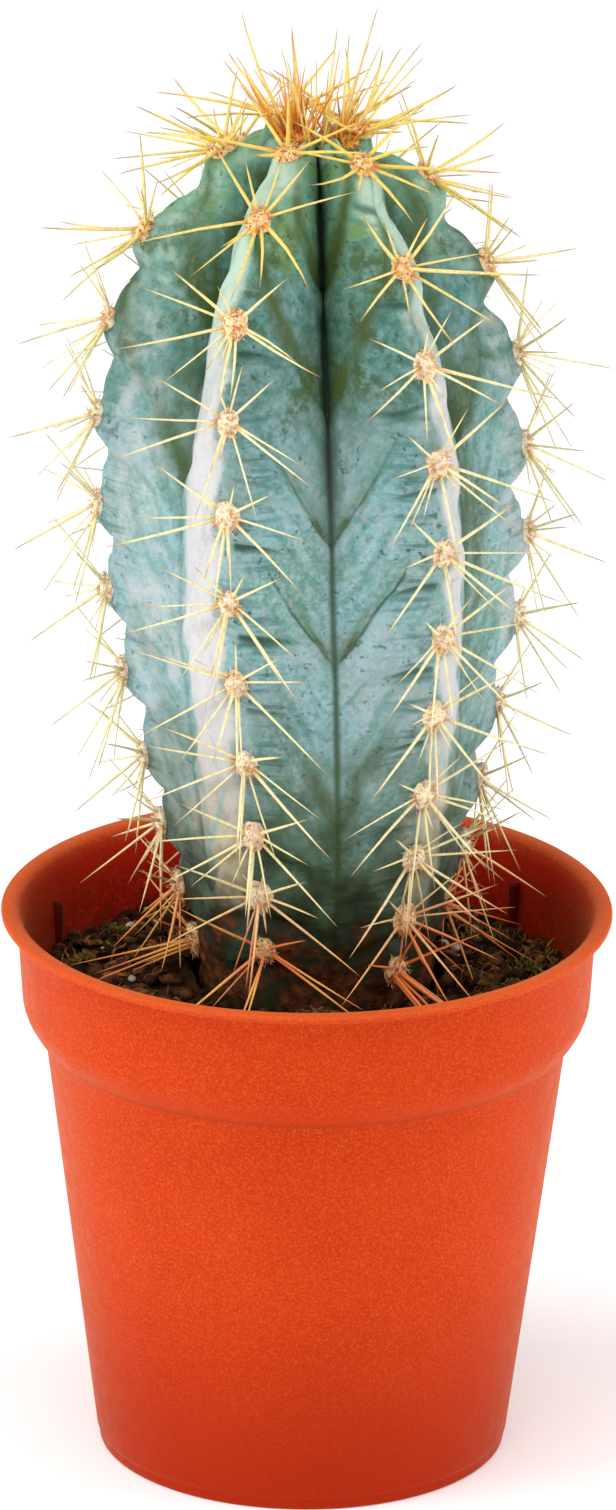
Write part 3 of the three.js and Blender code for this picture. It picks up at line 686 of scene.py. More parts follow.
def skin_finish(colours):
    """Waxy blue-green skin, with its bloom, folds, chevrons, specks and corky foot, a painted highlight
    on the flanks that face the side softboxes, and painted shade along the grooves and in the folds.
    """
    finish = Finish("waxy_skin", 0.5, IOR=1.45, Specular_IOR_Level=0.35)
    paint, ramp, band, product = finish.paint, finish.ramp, finish.band, finish.product
    height, across = finish.height(), finish.value("across")
    near, wax = finish.value("areole_gap"), finish.value("wax")
    patchy, soft = finish.lumps(3.2, 5, 0.6), finish.lumps(10, 3)
    streaks = finish.lumps(2.0, 5, 0.65, stretch=(1, 1, 0.22))
    fine, mottled = finish.lumps(0.8, 4, 0.65), finish.lumps(1.7, 6, 0.68)
    finish.colour = colours.green_skin
    paint(ramp(soft, 0.36, 0.62), colours.skin)
    paint(ramp(fine, 0.42, 0.7, 0.0, 0.6), colours.bloom)
    paint(ramp(finish.lumps(1.3, 3), 0.46, 0.66, 0.0, 0.6), srgb(78, 134, 128))
    paint(ramp(finish.lumps(0.7, 3), 0.46, 0.7, 0.0, 0.55), srgb(190, 182, 196))
    paint(ramp(finish.lumps(16, 3), 0.44, 0.64, 0.0, 0.4), srgb(178, 188, 196))
    # Faint strokes that run down into the grooves, side by side.
    wander = ramp(finish.lumps(7, 3), 0.2, 0.8, -0.5, 0.5)
    along = finish.math("ADD", product(finish.value("chevron"), 5.5), wander)
    place = finish.node("ShaderNodeCombineXYZ", {"X": along, "Y": product(across, 0.9)}).outputs[0]
    noisy = finish.node("ShaderNodeTexNoise", {"Vector": place, "Scale": 1.0, "Detail": 3.0})
    strokes = noisy.outputs["Fac"]
    beside = ramp(across, 0.22, 0.5)
    paint(product(ramp(strokes, 0.5, 0.66), beside, 0.55), srgb(86, 134, 118))
    paint(product(ramp(strokes, 0.34, 0.5, 1.0, 0.0), beside, 0.5), srgb(166, 196, 198))
    wrinkles = finish.lumps(2.4, 3, 0.5, stretch=(0.3, 0.3, 2.6))
    creased = product(band(across, 0.24, 0.34), ramp(height, 0.15, 0.175, 1.0, 0.3))
    paint(product(ramp(wrinkles, 0.5, 0.66), creased, 0.75), srgb(70, 118, 116))
    upper = product(ramp(height, 0.14, 0.168), ramp(mottled, 0.34, 0.66, 0.48, 1.0))
    paint(upper, srgb(62, 116, 104))
    young = product(ramp(height, 0.172, 0.19), ramp(soft, 0.34, 0.62, 0.5, 1.0))
    paint(product(young, ramp(across, 0.3, 0.85, 0.85, 0.3)), colours.young)
    lime = product(ramp(height, 0.168, 0.182), ramp(finish.lumps(5, 4, 0.6), 0.5, 0.66, 0.0, 0.7))
    paint(lime, srgb(112, 148, 74))
    # Thick wax, with a painted highlight where the flanks face the side softboxes: mint near the crown
    # and cream low down.
    wax_and_highlight_colour = finish.mix(ramp(height, 0.154, 0.182), colours.wax, srgb(190, 216, 198))
    wax_and_highlight_colour = finish.mix(ramp(height, 0.088, 0.112, 0.9, 0.0), wax_and_highlight_colour, srgb(206, 190, 148))
    worn_wax_and_highlight = finish.math("ADD", wax, ramp(finish.lumps(2.6, 4), 0.25, 0.75, -0.22, 0.22))
    thick = product(ramp(worn_wax_and_highlight, 0.1, 0.95), ramp(streaks, 0.2, 0.52, 0.5, 1.0), 0.94)
    paint(thick, wax_and_highlight_colour)
    unwaxed = finish.math("SUBTRACT", 1.0, product(wax, 0.85))
    # Olive patches beside the areoles, stains beside the grooves, and bands that meet in them.
    smudge = product(finish.value("smudge"), ramp(mottled, 0.34, 0.66, 0.12, 1.0), unwaxed)
    smudge_colour = finish.mix(ramp(height, 0.13, 0.165), srgb(40, 74, 60), colours.olive)
    paint(ramp(smudge, 0.0, 0.85, 0.0, 0.8), smudge_colour)
    patchily = ramp(streaks, 0.32, 0.6, 0.1, 1.0)
    paint(product(finish.value("stain"), ramp(across, 0.5, 0.86), patchily), colours.olive)
    line = finish.math("FRACT", finish.value("chevron"))
    bent = finish.math("ADD", line, ramp(finish.lumps(9, 2), 0.2, 0.8, -0.035, 0.035))
    broad = product(
        band(bent, 0.58, 0.26),
        finish.math("MAXIMUM", ramp(across, 0.35, 0.8, 0.1, 1.0), ramp(height, 0.155, 0.17)),
        finish.value("chevron_broad"), ramp(streaks, 0.3, 0.54, 0.42, 1.0), unwaxed,
    )
    paint(broad, colours.olive)
    worn = ramp(finish.lumps(4.5, 3), 0.38, 0.56, 0.35, 1.0)
    thin_share = product(finish.value("chevron_thin"), worn)
    thin = product(band(bent, 0.5, 0.034), ramp(across, 0.26, 0.36), thin_share)
    paint(product(thin, 0.9), srgb(50, 74, 50))
    halo = product(band(bent, 0.56, 0.12), ramp(across, 0.3, 0.7), thin_share, 0.45)
    paint(halo, srgb(92, 124, 84))
    low = ramp(height, 0.098, 0.122, 0.8, 0.0)
    paint(product(band(bent, 0.76, 0.12), ramp(across, 0.3, 0.5), low), srgb(150, 190, 192))
    ends = product(band(bent, 0.54, 0.07), band(across, 0.84, 0.14), thin_share)
    paint(ends, srgb(66, 78, 34))
    # Painted shade along each groove, darkest near the crown.
    high = ramp(height, 0.13, 0.158)
    groove_shade_share = finish.value("slit")
    paint(product(ramp(across, 0.82, 0.97), high, groove_shade_share, 0.8), srgb(34, 56, 36))
    groove_shade_colour = finish.mix(high, srgb(58, 84, 62), srgb(12, 20, 12))
    paint(product(ramp(across, 0.93, 0.995), groove_shade_share, 0.94), groove_shade_colour)
    # Painted shade in the folds under the areoles, and dark specks round them.
    fold = finish.value("fold")
    paint(ramp(fold, 0.08, 0.6, 0.0, 0.7), srgb(72, 116, 100))
    paint(ramp(fold, 0.4, 0.9, 0.0, 0.8), srgb(32, 62, 50))
    specks = ramp(finish.lumps(1.1, 3, 0.6), 0.59, 0.66)
    scarce = ramp(finish.lumps(5, 2), 0.42, 0.56)
    specks = product(specks, ramp(near, 2.0, 9.0, 0.95, 0.6), scarce, unwaxed)
    paint(specks, srgb(40, 72, 56))
    # Duller green towards the foot, and cork where the stem meets the soil.
    waver = ramp(finish.lumps(6, 4), 0.25, 0.75, -0.009, 0.009)
    level = finish.math("ADD", height, waver)
    dull = ramp(level, 0.086, 0.124, 1.0, 0.0)
    bare = finish.math("SUBTRACT", 1.0, product(wax, 0.7))
    paint(product(dull, bare, 0.9), colours.foot)
    dark = ramp(level, 0.076, 0.1, 1.0, 0.0)
    paint(product(dark, ramp(bare, 0.0, 1.0, 0.55, 1.0), 0.9), srgb(20, 28, 10))
    cork = ramp(level, 0.07, 0.081, 1.0, 0.0)
    rind = finish.mix(ramp(finish.lumps(1.4, 5), 0.35, 0.7), srgb(62, 30, 14), srgb(126, 72, 36))
    paint(cork, rind)
    finish.set(Roughness=ramp(patchy, 0.3, 0.7, 0.42, 0.58))
    finish.bump(finish.lumps(0.5, 4), 0.06, 0.5)
    finish.bump(thin, -0.25, 0.6)
    finish.bump(patchy, 0.3, 0.6)
    finish.bump(wrinkles, -0.3, 0.5)
    return finish.material


def spine_finish(colours):
    """A horny needle: darker root and tip, and a shaft that is golden while it is young."""
    finish = Finish("horny_spine", 0.38, IOR=1.5)
    along, tone, young = finish.value("along"), finish.value("tone"), finish.value("young")
    root = finish.mix(young, colours.root_colour, colours.young_root)
    shaft = finish.mix(young, colours.shaft_colour, colours.young_shaft)
    tip, paint, ramp = colours.tip_colour, finish.paint, finish.ramp
    finish.colour = root
    paint(ramp(along, 0.03, 0.2), shaft)
    paint(ramp(along, 0.68, 1.0, 0.0, 0.9), tip)
    paint(ramp(tone, 0.3, 1.0, 0.0, 0.45), root)
    paint(ramp(young, 1.0, 1.8, 0.0, 0.75), srgb(255, 160, 20))
    paint(ramp(tone, 0.9, 1.5, 0.0, 0.9), srgb(198, 80, 6))
    low = ramp(finish.height(), 0.079, 0.093, 0.92, 0.0)
    warm = finish.mix(ramp(finish.lumps(14, 1), 0.42, 0.58), srgb(255, 186, 66), srgb(250, 128, 44))
    paint(finish.product(low, ramp(tone, 0.2, 0.9, 0.6, 1.0)), warm)
    streak = ramp(finish.lumps(0.6, 3, stretch=(1, 1, 0.3)), 0.4, 0.7, 0.0, 0.3)
    paint(streak, tip)
    finish.bump(finish.lumps(0.3, 2), 0.03, 0.4)
    return finish.material


def wool_finish(name, light, dark):
    """Felted wool in two colours, mixed from hair to hair."""
    finish = Finish(name, 0.85, Sheen_Weight=0.3, Sheen_Roughness=0.5)
    paint, ramp = finish.paint, finish.ramp
    share = ramp(finish.value("tone"), 0.35, 0.9)
    speckled = finish.math("MAXIMUM", share, ramp(finish.lumps(0.7, 3), 0.52, 0.68))
    finish.colour = light
    paint(speckled, dark)
    height = finish.height()
    low = ramp(height, 0.078, 0.092, 1.0, 0.0)
    ends = finish.math("MAXIMUM", ramp(height, 0.16, 0.18), low)
    paint(finish.product(ends, 0.55), srgb(255, 204, 104))
    dots = finish.product(ramp(finish.lumps(0.6, 2), 0.54, 0.6), ramp(ends, 0.0, 1.0, 0.3, 1.0))
    paint(dots, srgb(196, 92, 22))
    finish.bump(finish.lumps(0.25, 3), 0.15, 0.8)
    return finish.material


# Pot


def rounded(profile, steps, reach):
    """A profile with every inner corner drawn as a short curve."""
    corners = [np.array(corner, float) for corner in profile]
    made = [corners[0]]
    for before, corner, after in zip(corners, corners[1:], corners[2:]):
        cut = min(reach, 0.45 * np.linalg.norm(before - corner), 0.45 * np.linalg.norm(after - corner))
        start = corner + unit(before - corner) * cut
        end = corner + unit(after - corner) * cut
        for t in np.linspace(0, 1, steps):
            made.append(lerp(lerp(start, corner, t), lerp(corner, end, t), t))
    return np.array([*made, corners[-1]])


def split_long(profile, longest):
    """The same profile with its long straight runs cut up."""
    made = [profile[0]]
    for start, end in zip(profile, profile[1:]):
        parts = max(1, math.ceil(np.linalg.norm(end - start) / longest))
        made += [lerp(start, end, (part + 1) / parts) for part in range(parts)]
    return np.array(made)


def pot_inside_radius(height):
    radii, heights = np.array(POT_INSIDE).T
    return np.interp(height, heights, radii)


def make_lug(bundle, azimuth):
    """An upright stacking lug on the inside of the collar, with rounded edges."""
    low, top = LUG_ENDS
    half = LUG_WIDTH / 2
    stations = [(low, 1 / 3), (low + 0.5, 1 / 2.4), (top - 0.5, 1), (top, 0.8)]
    section = [(-1, 0), (-1, 0.75), (-0.6, 1), (0.6, 1), (1, 0.75), (1, 0)]
    out, side = outward(azimuth), outward(azimuth + 90)
    points = []
    for height, proud in stations:
        root = pot_inside_radius(height) + LUG_ROOT
        for across, share in section:
            depth = (LUG_PROUD * proud + LUG_ROOT) * share
            points.append(out * (root - depth) + side * half * across + np.array([0, 0, height]))
    faces = [face[::-1] for face in capped_faces(len(stations), len(section))]
    bundle.add(np.array(points), faces, inside=2)


def make_pot(sizes):
    """The pot with its drain holes, and the lugs inside its collar."""
    lip = sizes.pot_radius / MM / max(radius for radius, _ in POT_OUTSIDE)
    outside = rounded(POT_OUTSIDE, CORNER_STEPS, CORNER_REACH)
    inside = rounded([*POT_INSIDE][::-1] + [(0, POT_FLOOR)], CORNER_STEPS, CORNER_REACH)
    profile = split_long(np.concatenate([outside, inside]), LONGEST_RUN)[1:-1] * (lip, 1)
    sides = np.arange(POT_SIDES) * 360 / POT_SIDES
    points = outward(sides)[None] * profile[:, None, :1]
    wave = sum(depth * np.sin(np.radians(count * sides + turn)) for depth, count, turn in LIP_WAVES)
    high = smooth(profile[:, 1], WALL_TOP, LIP_HEIGHT)
    points *= 1 - ((LIP_INSET + wave) * high[:, None] / LIP_RADIUS)[..., None]
    points[..., 2] = profile[:, None, 1]
    points = np.concatenate([points.reshape(-1, 3), [(0, 0, 0), (0, 0, POT_FLOOR)]])
    bundle = Bundle("inside")
    inner = np.repeat(np.arange(len(profile)) >= np.argmax(profile[:, 1]) + 2, POT_SIDES)
    faces = fanned_faces(len(profile), POT_SIDES)
    bundle.add(points, faces, inside=np.concatenate([inner, [0, 1]]))
    pot = bundle.piece("pot_shell", pot_finish(sizes), "pot_plastic", "pot")
    drill = Bundle()
    for index in range(DRAIN_HOLES):
        middle = outward(index * 360.0 / DRAIN_HOLES) * DRAIN_CIRCLE
        ends = [middle + (0, 0, height) for height in DRILL_ENDS]
        drill.add(*tube(ends, [DRAIN_RADIUS] * 2, DRILL_SIDES))
    cutter = bpy.data.objects.new("drill", bpy.data.meshes.new("drill"))
    cutter.data.from_pydata((np.concatenate(drill.points) * MM).tolist(), [], drill.faces)
    bpy.context.scene.collection.objects.link(cutter)
    cut = pot.modifiers.new("drain_holes", "BOOLEAN")
    cut.object, cut.operation, cut.solver = cutter, "DIFFERENCE", "EXACT"
    apply_modifiers(pot)
    bpy.data.objects.remove(cutter)
    lugs = Bundle("inside")
    for azimuth in LUG_AZIMUTHS:
        make_lug(lugs, azimuth)
    lugs.piece("pot_lugs", pot.data.materials[0], "pot_plastic")


def apply_modifiers(piece):
    """Keeps the piece's finished mesh and drops its modifiers."""
    bpy.context.view_layer.update()
    ready = piece.evaluated_get(bpy.context.evaluated_depsgraph_get())
    mesh = bpy.data.meshes.new_from_object(ready)
    piece.modifiers.clear()
    piece.data = mesh


# Soil


def hole_radius(height):
    foot, _ = catmull_rom(STEM_ROWS[:, :2], np.array(0.0))
    line, _ = catmull_rom(STEM_ROWS[:, :2], np.array(float(BURIED_ROWS)))
    share = np.clip((height - foot[1]) / (line[1] - foot[1]), 0, 1)
    bulge = HOLE_BULGE * math.sin(math.pi * share ** 0.8)
    return lerp(foot[0], line[0], share) + bulge + 2 * SOIL_GAP


def make_soil_bed():
    """The peat itself, from the pot's floor to its lumpy top, with the hole for the stem."""
    directions = outward(np.arange(SOIL_SIDES) * 360 / SOIL_SIDES)

    def ring(radius, shift, height=None):
        points = directions * radius
        points[:, 0] += shift
        points[:, 2] = soil_height(points[:, 0], points[:, 1]) if height is None else height
        return points

    floor = POT_INSIDE[0][1] + SOIL_GAP
    rings = [ring(POT_INSIDE[0][0] - SOIL_GAP, 0, floor)]
    buried = [row for row in POT_INSIDE[1:] if row[1] < SOIL_AT_WALL]
    rings += [ring(radius - SOIL_GAP, 0, height) for radius, height in buried]
    wall = pot_inside_radius(SOIL_AT_WALL) - SOIL_GAP
    mouth = hole_radius(SOIL_AT_STEM)
    for share in np.linspace(0, 1, SOIL_TOP_RINGS):
        rings.append(ring(lerp(wall, mouth, share), STEM_SHIFT * share))
        top = rings[-1]
        held = smooth(share, 0, 0.06) * (1 - smooth(share, 0.94, 1))
        top[:, 2] += held * layered_noise(top * (1, 1, 0), PEAT_LUMPS)
    rings += [ring(hole_radius(height), STEM_SHIFT, height) for height in HOLE_LEVELS]
    faces = fanned_faces(len(rings), SOIL_SIDES)
    ends = [(0, 0, floor), (STEM_SHIFT, 0, FOOT_DEPTH - SOIL_GAP)]
    points = np.concatenate([*rings, ends])
    add_piece("soil_bed", points, faces, soil_finish(), "soil")


def soil_place(random, low, high):
    """A place on the soil between two radii."""
    radius = math.sqrt(random.uniform(low**2, high**2))
    x, y, _ = outward(random.uniform(0, 360)) * radius
    return np.array([x, y, float(soil_height(x, y))])


def turned(points, random, tilt):
    """Points turned at random about Z and then tilted by up to an angle."""
    spin = random.uniform(0, 2 * math.pi)
    lean = math.radians(random.uniform(-tilt, tilt))
    way = random.uniform(0, math.pi)
    c, s = math.cos(spin), math.sin(spin)
    points = points @ np.array([[c, s, 0], [-s, c, 0], [0, 0, 1]])
    axis = np.array([math.cos(way), math.sin(way), 0])
    across = np.cross(axis, points)
    along = (points @ axis)[:, None] * axis
    return points * math.cos(lean) + across * math.sin(lean) + along * (1 - math.cos(lean))


def lump_bits(sizes, squash, sink, level, roughness):
    """Rounded bits, each a little different, half sunk in the soil."""
    def bits(random, _):
        ball_points, faces = ball(level)
        size = lerp(*sizes, random.random_sample() ** 2)
        place = soil_place(random, *LITTER_BAND)
        uneven = noise_field(ball_points, 0.8, random.uniform(0, 90))
        shape = ball_points * (1 + roughness * uneven)[:, None]
        shape = shape * (size * random.uniform(0.8, 1.5), size, size * random.uniform(*squash))
        yield turned(shape, random, LUMP_TILT) + place + (0, 0, size * sink), faces

    return bits


def bark_bits(random, _):
    """A flat, split chip of bark, lying at any angle."""
    length, width = random.uniform(*BARK_LENGTHS), random.uniform(*BARK_WIDTHS)
    thick = random.uniform(*BARK_THICKNESSES)
    turn = np.arange(BARK_SIDES) * 2 * math.pi / BARK_SIDES
    points = []
    for t in np.linspace(0, 1, BARK_ROWS):
        taper = 0.35 + 0.65 * math.sin(math.pi * lerp(0.12, 0.88, t)) ** 0.5
        along = np.full(BARK_SIDES, (t - 0.5) * length)
        ring = np.stack([along, np.cos(turn) * width / 2, np.sin(turn) * thick / 2], -1)
        ring[:, 1:] *= taper * random.uniform(0.75, 1.2, (BARK_SIDES, 1))
        ring[:, 0] += random.uniform(-0.18, 0.18, BARK_SIDES) * length / BARK_ROWS * 2
        points.append(ring)
    place = soil_place(random, *BARK_BAND)
    shape = turned(np.concatenate(points), random, BARK_TILT)
    yield shape + place + (0, 0, BARK_LIFT), capped_faces(BARK_ROWS, BARK_SIDES)


def fibre_bits(random, _):
    """A fine root or peat fibre that lies across the soil."""
    path = [soil_place(random, *FIBRE_BAND)]
    heading = random.uniform(0, 2 * math.pi)
    reach = random.uniform(*FIBRE_LENGTHS) / FIBRE_STEPS
    for _ in range(FIBRE_STEPS):
        heading += random.uniform(-0.5, 0.5)
        step = path[-1] + reach * np.array([math.cos(heading), math.sin(heading), 0])
        if LITTER_BAND[0] < math.hypot(step[0], step[1]) < LITTER_BAND[1] - FIBRE_MARGIN:
            step[2] = soil_height(step[0], step[1]) + random.uniform(0.3, 1.3)
            path.append(step)
    if len(path) >= FIBRE_LEAST:
        radii = np.full(len(path), random.uniform(*FIBRE_RADII))
        radii[-1] *= 0.3
        yield tube(path, radii, FIBRE_SIDES)


def moss_bits(random, index):
    """A small tuft of moss between the chips; most tufts are on the right."""
    azimuth = random.uniform(20, 150) if index % 2 else random.uniform(-180, 180)
    middle = outward(azimuth) * random.uniform(*MOSS_BAND)
    for _ in range(MOSS_STEMS):
        foot = middle + np.array([*random.normal(0, 1.1, 2), 0])
        foot *= min(1, MOSS_EDGE / math.hypot(foot[0], foot[1]))
        foot[2] = soil_height(foot[0], foot[1]) - 0.1
        lean = np.array([*random.normal(0, 0.5, 2), 1.0])
        tall = random.uniform(*MOSS_HEIGHTS)
        top = foot + lean * tall + (*random.normal(0, 0.2, 2), 0)
        yield tube([foot, foot + lean * tall * 0.5, top], MOSS_RADII, 4)


# The loose litter: piece, setting with its number, seed, what makes its bits and whether they are
# flat-faced, then its finish with the light and dark colour and the size of the speckles.
LITTER = (
    (
        "peat_crumbs", "crumbs", 3, lump_bits((0.35, 1.5), (0.6, 1.0), 0.25, 1, 0.28), False,
        ("peat_crumb", srgb(96, 56, 26), srgb(20, 9, 3), 1.0),
    ), (
        "pale_grains", "grit", 7, lump_bits((0.3, 0.95), (0.7, 1.0), 0.7, 2, 0.2), False,
        ("pale_grain", srgb(236, 230, 214), srgb(170, 158, 136), 0.9),
    ), (
        "bark_chips", "bark", 11, bark_bits, True,
        ("bark_chip", srgb(150, 96, 44), srgb(32, 15, 6), 1.3),
    ), (
        "root_fibres", "fibres", 23, fibre_bits, False,
        ("root_fibre", srgb(150, 104, 66), srgb(74, 44, 30), 0.8),
    ), (
        "moss_tufts", "moss", 31, moss_bits, False,
        ("moss_leaf", srgb(160, 138, 56), srgb(66, 62, 22), 1.1),
    ),
)


def make_litter(counts):
    """Lays the loose litter on the soil, one piece for each kind."""
    for name, setting, seed, bits, flat, finish in LITTER:
        random = np.random.RandomState(seed)
        bundle = Bundle("tone")
        for index in range(getattr(counts, setting)):
            for points, faces in bits(random, index):
                bundle.add(points, faces, tone=random.random_sample())
        bundle.piece(name, litter_finish(*finish), "potting_soil", flat=flat)


# Stem


def column_layout():
    """Rib, way across and groove index of every column of the skin, in order round the stem."""
    share = np.linspace(0, 1, STEM_COLUMNS + 1)
    flank = 0.45 * share + 0.55 * (0.5 - 0.5 * np.cos(math.pi * share))
    across = np.concatenate([-flank[STEM_COLUMNS - 1:0:-1], flank])
    ribs = np.repeat(np.arange(RIBS), len(across))
    return ribs, np.tile(across, RIBS)


def chevron_value(points, ribs, across):
    """Counts the chevrons up the stem, a V for each whole number, and names each point's groove."""
    groove = (ribs + (across > 0)) % RIBS
    level = points[..., 2] - CHEVRON_RISE * (1 - np.abs(across)) ** CHEVRON_CURVE
    even = (level - CHEVRON_FRONT) / CHEVRON_SPACING - CHEVRON_OFFSETS[groove]
    front = np.interp(level, FRONT_CHEVRONS[1], FRONT_CHEVRONS[0])
    return np.where(groove == FRONT_GROOVE, front, even) + 0.5, groove


def scattered(*wholes):
    """The same draw as draw(), for arrays of whole numbers."""
    value = np.sin(sum(scale * whole for scale, whole in zip(DRAW_SCALES, wholes))) * DRAW_SPREAD
    return value - np.floor(value)


def fold_lines(step, ribs, across):
    """Where the skin is creased between the areoles, from 0 to 1."""
    lowered = step - rib_phase(ribs)
    share, areole = lowered % 1, np.floor(lowered)
    span, side = np.abs(across), across > 0
    alive = smooth(step, 0.4, 1.2) * (1 - smooth(step, 9.4, 10.4))
    total = np.zeros_like(share)
    for index, (middle, width, strength) in enumerate(FOLDS):
        luck, chance, height = (scattered(2 * ribs + side, areole, 5 * index + k) for k in range(3))
        away = (span - lerp(*FOLD_PLACES, luck)) / lerp(*FOLD_REACHES, chance)
        held = np.clip(1 - away**2, 0, 1)
        sag = FOLD_SAG * (1 - away**2) * (luck - 0.2)
        curve = middle + 0.1 * (height - 0.5) + FOLD_LEVEL * span - sag
        crease = bell(share - curve, width * (0.5 + 0.5 * held))
        total += strength * crease * held**0.5 * smooth(chance, 0.1, 0.5)
    return np.clip(total, 0, 1) * alive * FOLD_SHARES[ribs, side.astype(int)]


def smudge_patches(step, ribs, across):
    """Where the skin is stained round the areoles, from 0 to 1."""
    lowered = step - rib_phase(ribs)
    areole = np.round(lowered)
    span, side = np.abs(across), across > 0
    luck, chance = (scattered(2 * ribs + side, areole, 60 + k) for k in range(2))
    high = smooth(areole, 6.5, 8.5)
    wide, tall, strength = (lerp(low, top, high) for low, top in zip(*SMUDGES))
    above = lowered - areole + 0.3 * (chance - 0.3)
    patch = bell(span - lerp(0.1, 0.3, luck), wide) * bell(above, tall)
    total = strength * patch * lerp(smooth(chance, 0.2, 0.6), 1, high)
    for rib, middle, place, tall, wide, strong in PATCHES:
        drift = across - place - 0.5 * (step - middle) * np.sign(place)
        total = total + (ribs == rib) * strong * bell(step - middle, tall) * bell(drift, wide)
    return np.clip(total, 0, 1)


def skin_relief(points, step, across, chevron, folds):
    """Folds under the areoles, shallow chevrons and an uneven surface, in millimetres outward."""
    span = np.abs(across)
    line = chevron % 1 - 0.5
    flank = smooth(span, 0.28, 0.5) * smooth(step, 0.4, 1.2) * (1 - smooth(step, 9.2, 10.2))
    groove = CHEVRON_DEPTH * bell(line, 0.025) * flank
    swell = 0.3 * bell(line + 0.12, 0.1) * flank
    uneven = layered_noise(points, SKIN_LUMPS) * (1 - smooth(span, 0.9, 1.0) * 0.7)
    return uneven + swell - FOLD_DEPTH * folds - groove


def wax_and_highlight_share(step, ribs, across):
    """How thickly the wax and its painted highlight lie, from 0 to 1: not alike on two flanks,
    strongest on the flanks that face the side softboxes, and nearer the crest high up.
    """
    strength, start, end = np.moveaxis(WAX_AND_HIGHLIGHT[ribs, (across > 0).astype(int)], -1, 0)
    high, span = smooth(step, 6.0, 10.0), np.abs(across)
    start, end = start * (1 - high), end * lerp(1, 0.62, high)
    start = start * (0.75 + 0.5 * bell((step - rib_phase(ribs) + 0.5) % 1 - 0.5, 0.28))
    rise = smooth(span, start - 0.12, start + 0.12)
    thick = strength * rise * (1 - smooth(span, end * 0.75, end)) * smooth(step, 0.2, 2.2)
    for rib, middle, place, tall, wide, strong in WAX_AND_HIGHLIGHT_PATCHES:
        patch = bell(step - middle, tall) * bell(across - place, wide)
        thick = np.maximum(thick, (ribs == rib) * strong * patch)
    return thick


def stain_share(step, ribs, across):
    """How dark the olive stain beside a groove is, from 0 to 1."""
    strength, low, high = np.moveaxis(STAIN[ribs, (across > 0).astype(int)], -1, 0)
    return strength * smooth(step, low - 1.5, low + 1) * (1 - smooth(step, high - 1, high + 0.5))


def make_stem(sizes):
    """The ribbed stem as one closed skin."""
    ribs, across = column_layout()
    foot, low, high, top = RING_STEPS
    ring = np.concatenate([
        np.linspace(foot, low, FOOT_RINGS, endpoint=False),
        np.linspace(low, high, STEM_RINGS, endpoint=False),
        np.linspace(high, top, CROWN_RINGS),
    ])[:, None]
    points, step = skin_points(ring, ribs[None], across[None])
    around = np.roll(points, -1, 1) - np.roll(points, 1, 1)
    along = np.gradient(points, axis=0)
    outside = unit(np.cross(around, along))
    chevron, groove = chevron_value(points, ribs, across)
    fold = fold_lines(step, ribs, across)
    relief = skin_relief(points, step, across, chevron, fold)
    relief *= sizes.relief * smooth(ring, -1.2, -0.6) * (1 - smooth(ring, LAST_STEP - 1, LAST_STEP))
    points = points + outside * relief[..., None]
    places = np.array([areole_frame(*each)[0] for each in np.ndindex(RIBS, AREOLES)])
    flat = points.reshape(-1, 3)
    gap = np.min(np.linalg.norm(flat[:, None] - places[None], axis=-1), axis=1)
    ends = [(STEM_SHIFT, 0, FOOT_DEPTH), (0, 0, CROWN_HEIGHT)]
    spans = np.broadcast_to(np.abs(across), fold.shape)
    number = np.floor(chevron)
    front = groove == FRONT_GROOVE
    numbers, _, *drawn = FRONT_CHEVRONS
    front_thin, front_broad = (np.interp(number, numbers, row) for row in drawn)
    thin = CHEVRON_LINES[groove] * (0.6 + 0.4 * scattered(groove, number, 21))
    upper = smooth(points[..., 2], *BROAD_CHEVRONS)
    broad = lerp(0.45 * scattered(groove, number, 22), 1.0, upper)
    values = {
        "across": spans, "chevron": chevron, "fold": fold, "areole_gap": gap,
        "wax": wax_and_highlight_share(step, ribs, across), "stain": stain_share(step, ribs, across),
        "smudge": smudge_patches(step, ribs, across),
        "slit": np.broadcast_to(GROOVE_SHADES[groove], fold.shape),
        "chevron_thin": np.where(front, front_thin, thin),
        "chevron_broad": np.where(front, front_broad, broad),
    }
    values = {label: np.append(numbers, [0, 0]) for label, numbers in values.items()}
    faces = fanned_faces(len(points), len(ribs))
    points = np.concatenate([flat, ends])
    add_piece("stem_skin", points, faces, skin_finish(sizes), "cactus", values)


# Spines and wool


def spine_direction(side, out, up, turn, lift):
    """A spine's direction from its turn off straight down and its lift off the skin."""
    turn, lift = math.radians(turn), math.radians(lift)
    flat = -up * math.cos(turn) + side * math.sin(turn)
    return unit(flat * math.cos(lift) + out * math.sin(lift))


def too_far_out(tip):
    """Whether a spine's tip stands out beyond the pot's wall or lip, or above the crown."""
    reach = REACH_IN_POT if tip[2] < ABOVE_POT else REACH_ABOVE
    return math.hypot(tip[0], tip[1]) > reach or tip[2] > TOP_LIMIT


def add_spine(bundle, root, direction, length, radius, bend, tone, young):
    """A tapered needle with a swollen root, bent a little to one side."""
    while length > 2 and too_far_out(root + direction * length):
        length -= LENGTH_STEP
    shares = np.array([share for share, _ in SPINE_STATIONS])
    sideways = unit(np.cross(direction, (0.3, 0.2, 1)))
    sag = sideways * bend[0] + np.cross(direction, sideways) * bend[1]
    path = root + direction * (shares * length)[:, None] + sag * ((shares**2) * length)[:, None]
    radii = [radius * width for _, width in SPINE_STATIONS]
    points, faces = tube(path, radii, SPINE_SIDES)
    bundle.add(points, faces, along=np.repeat(shares, SPINE_SIDES), tone=tone, young=young)


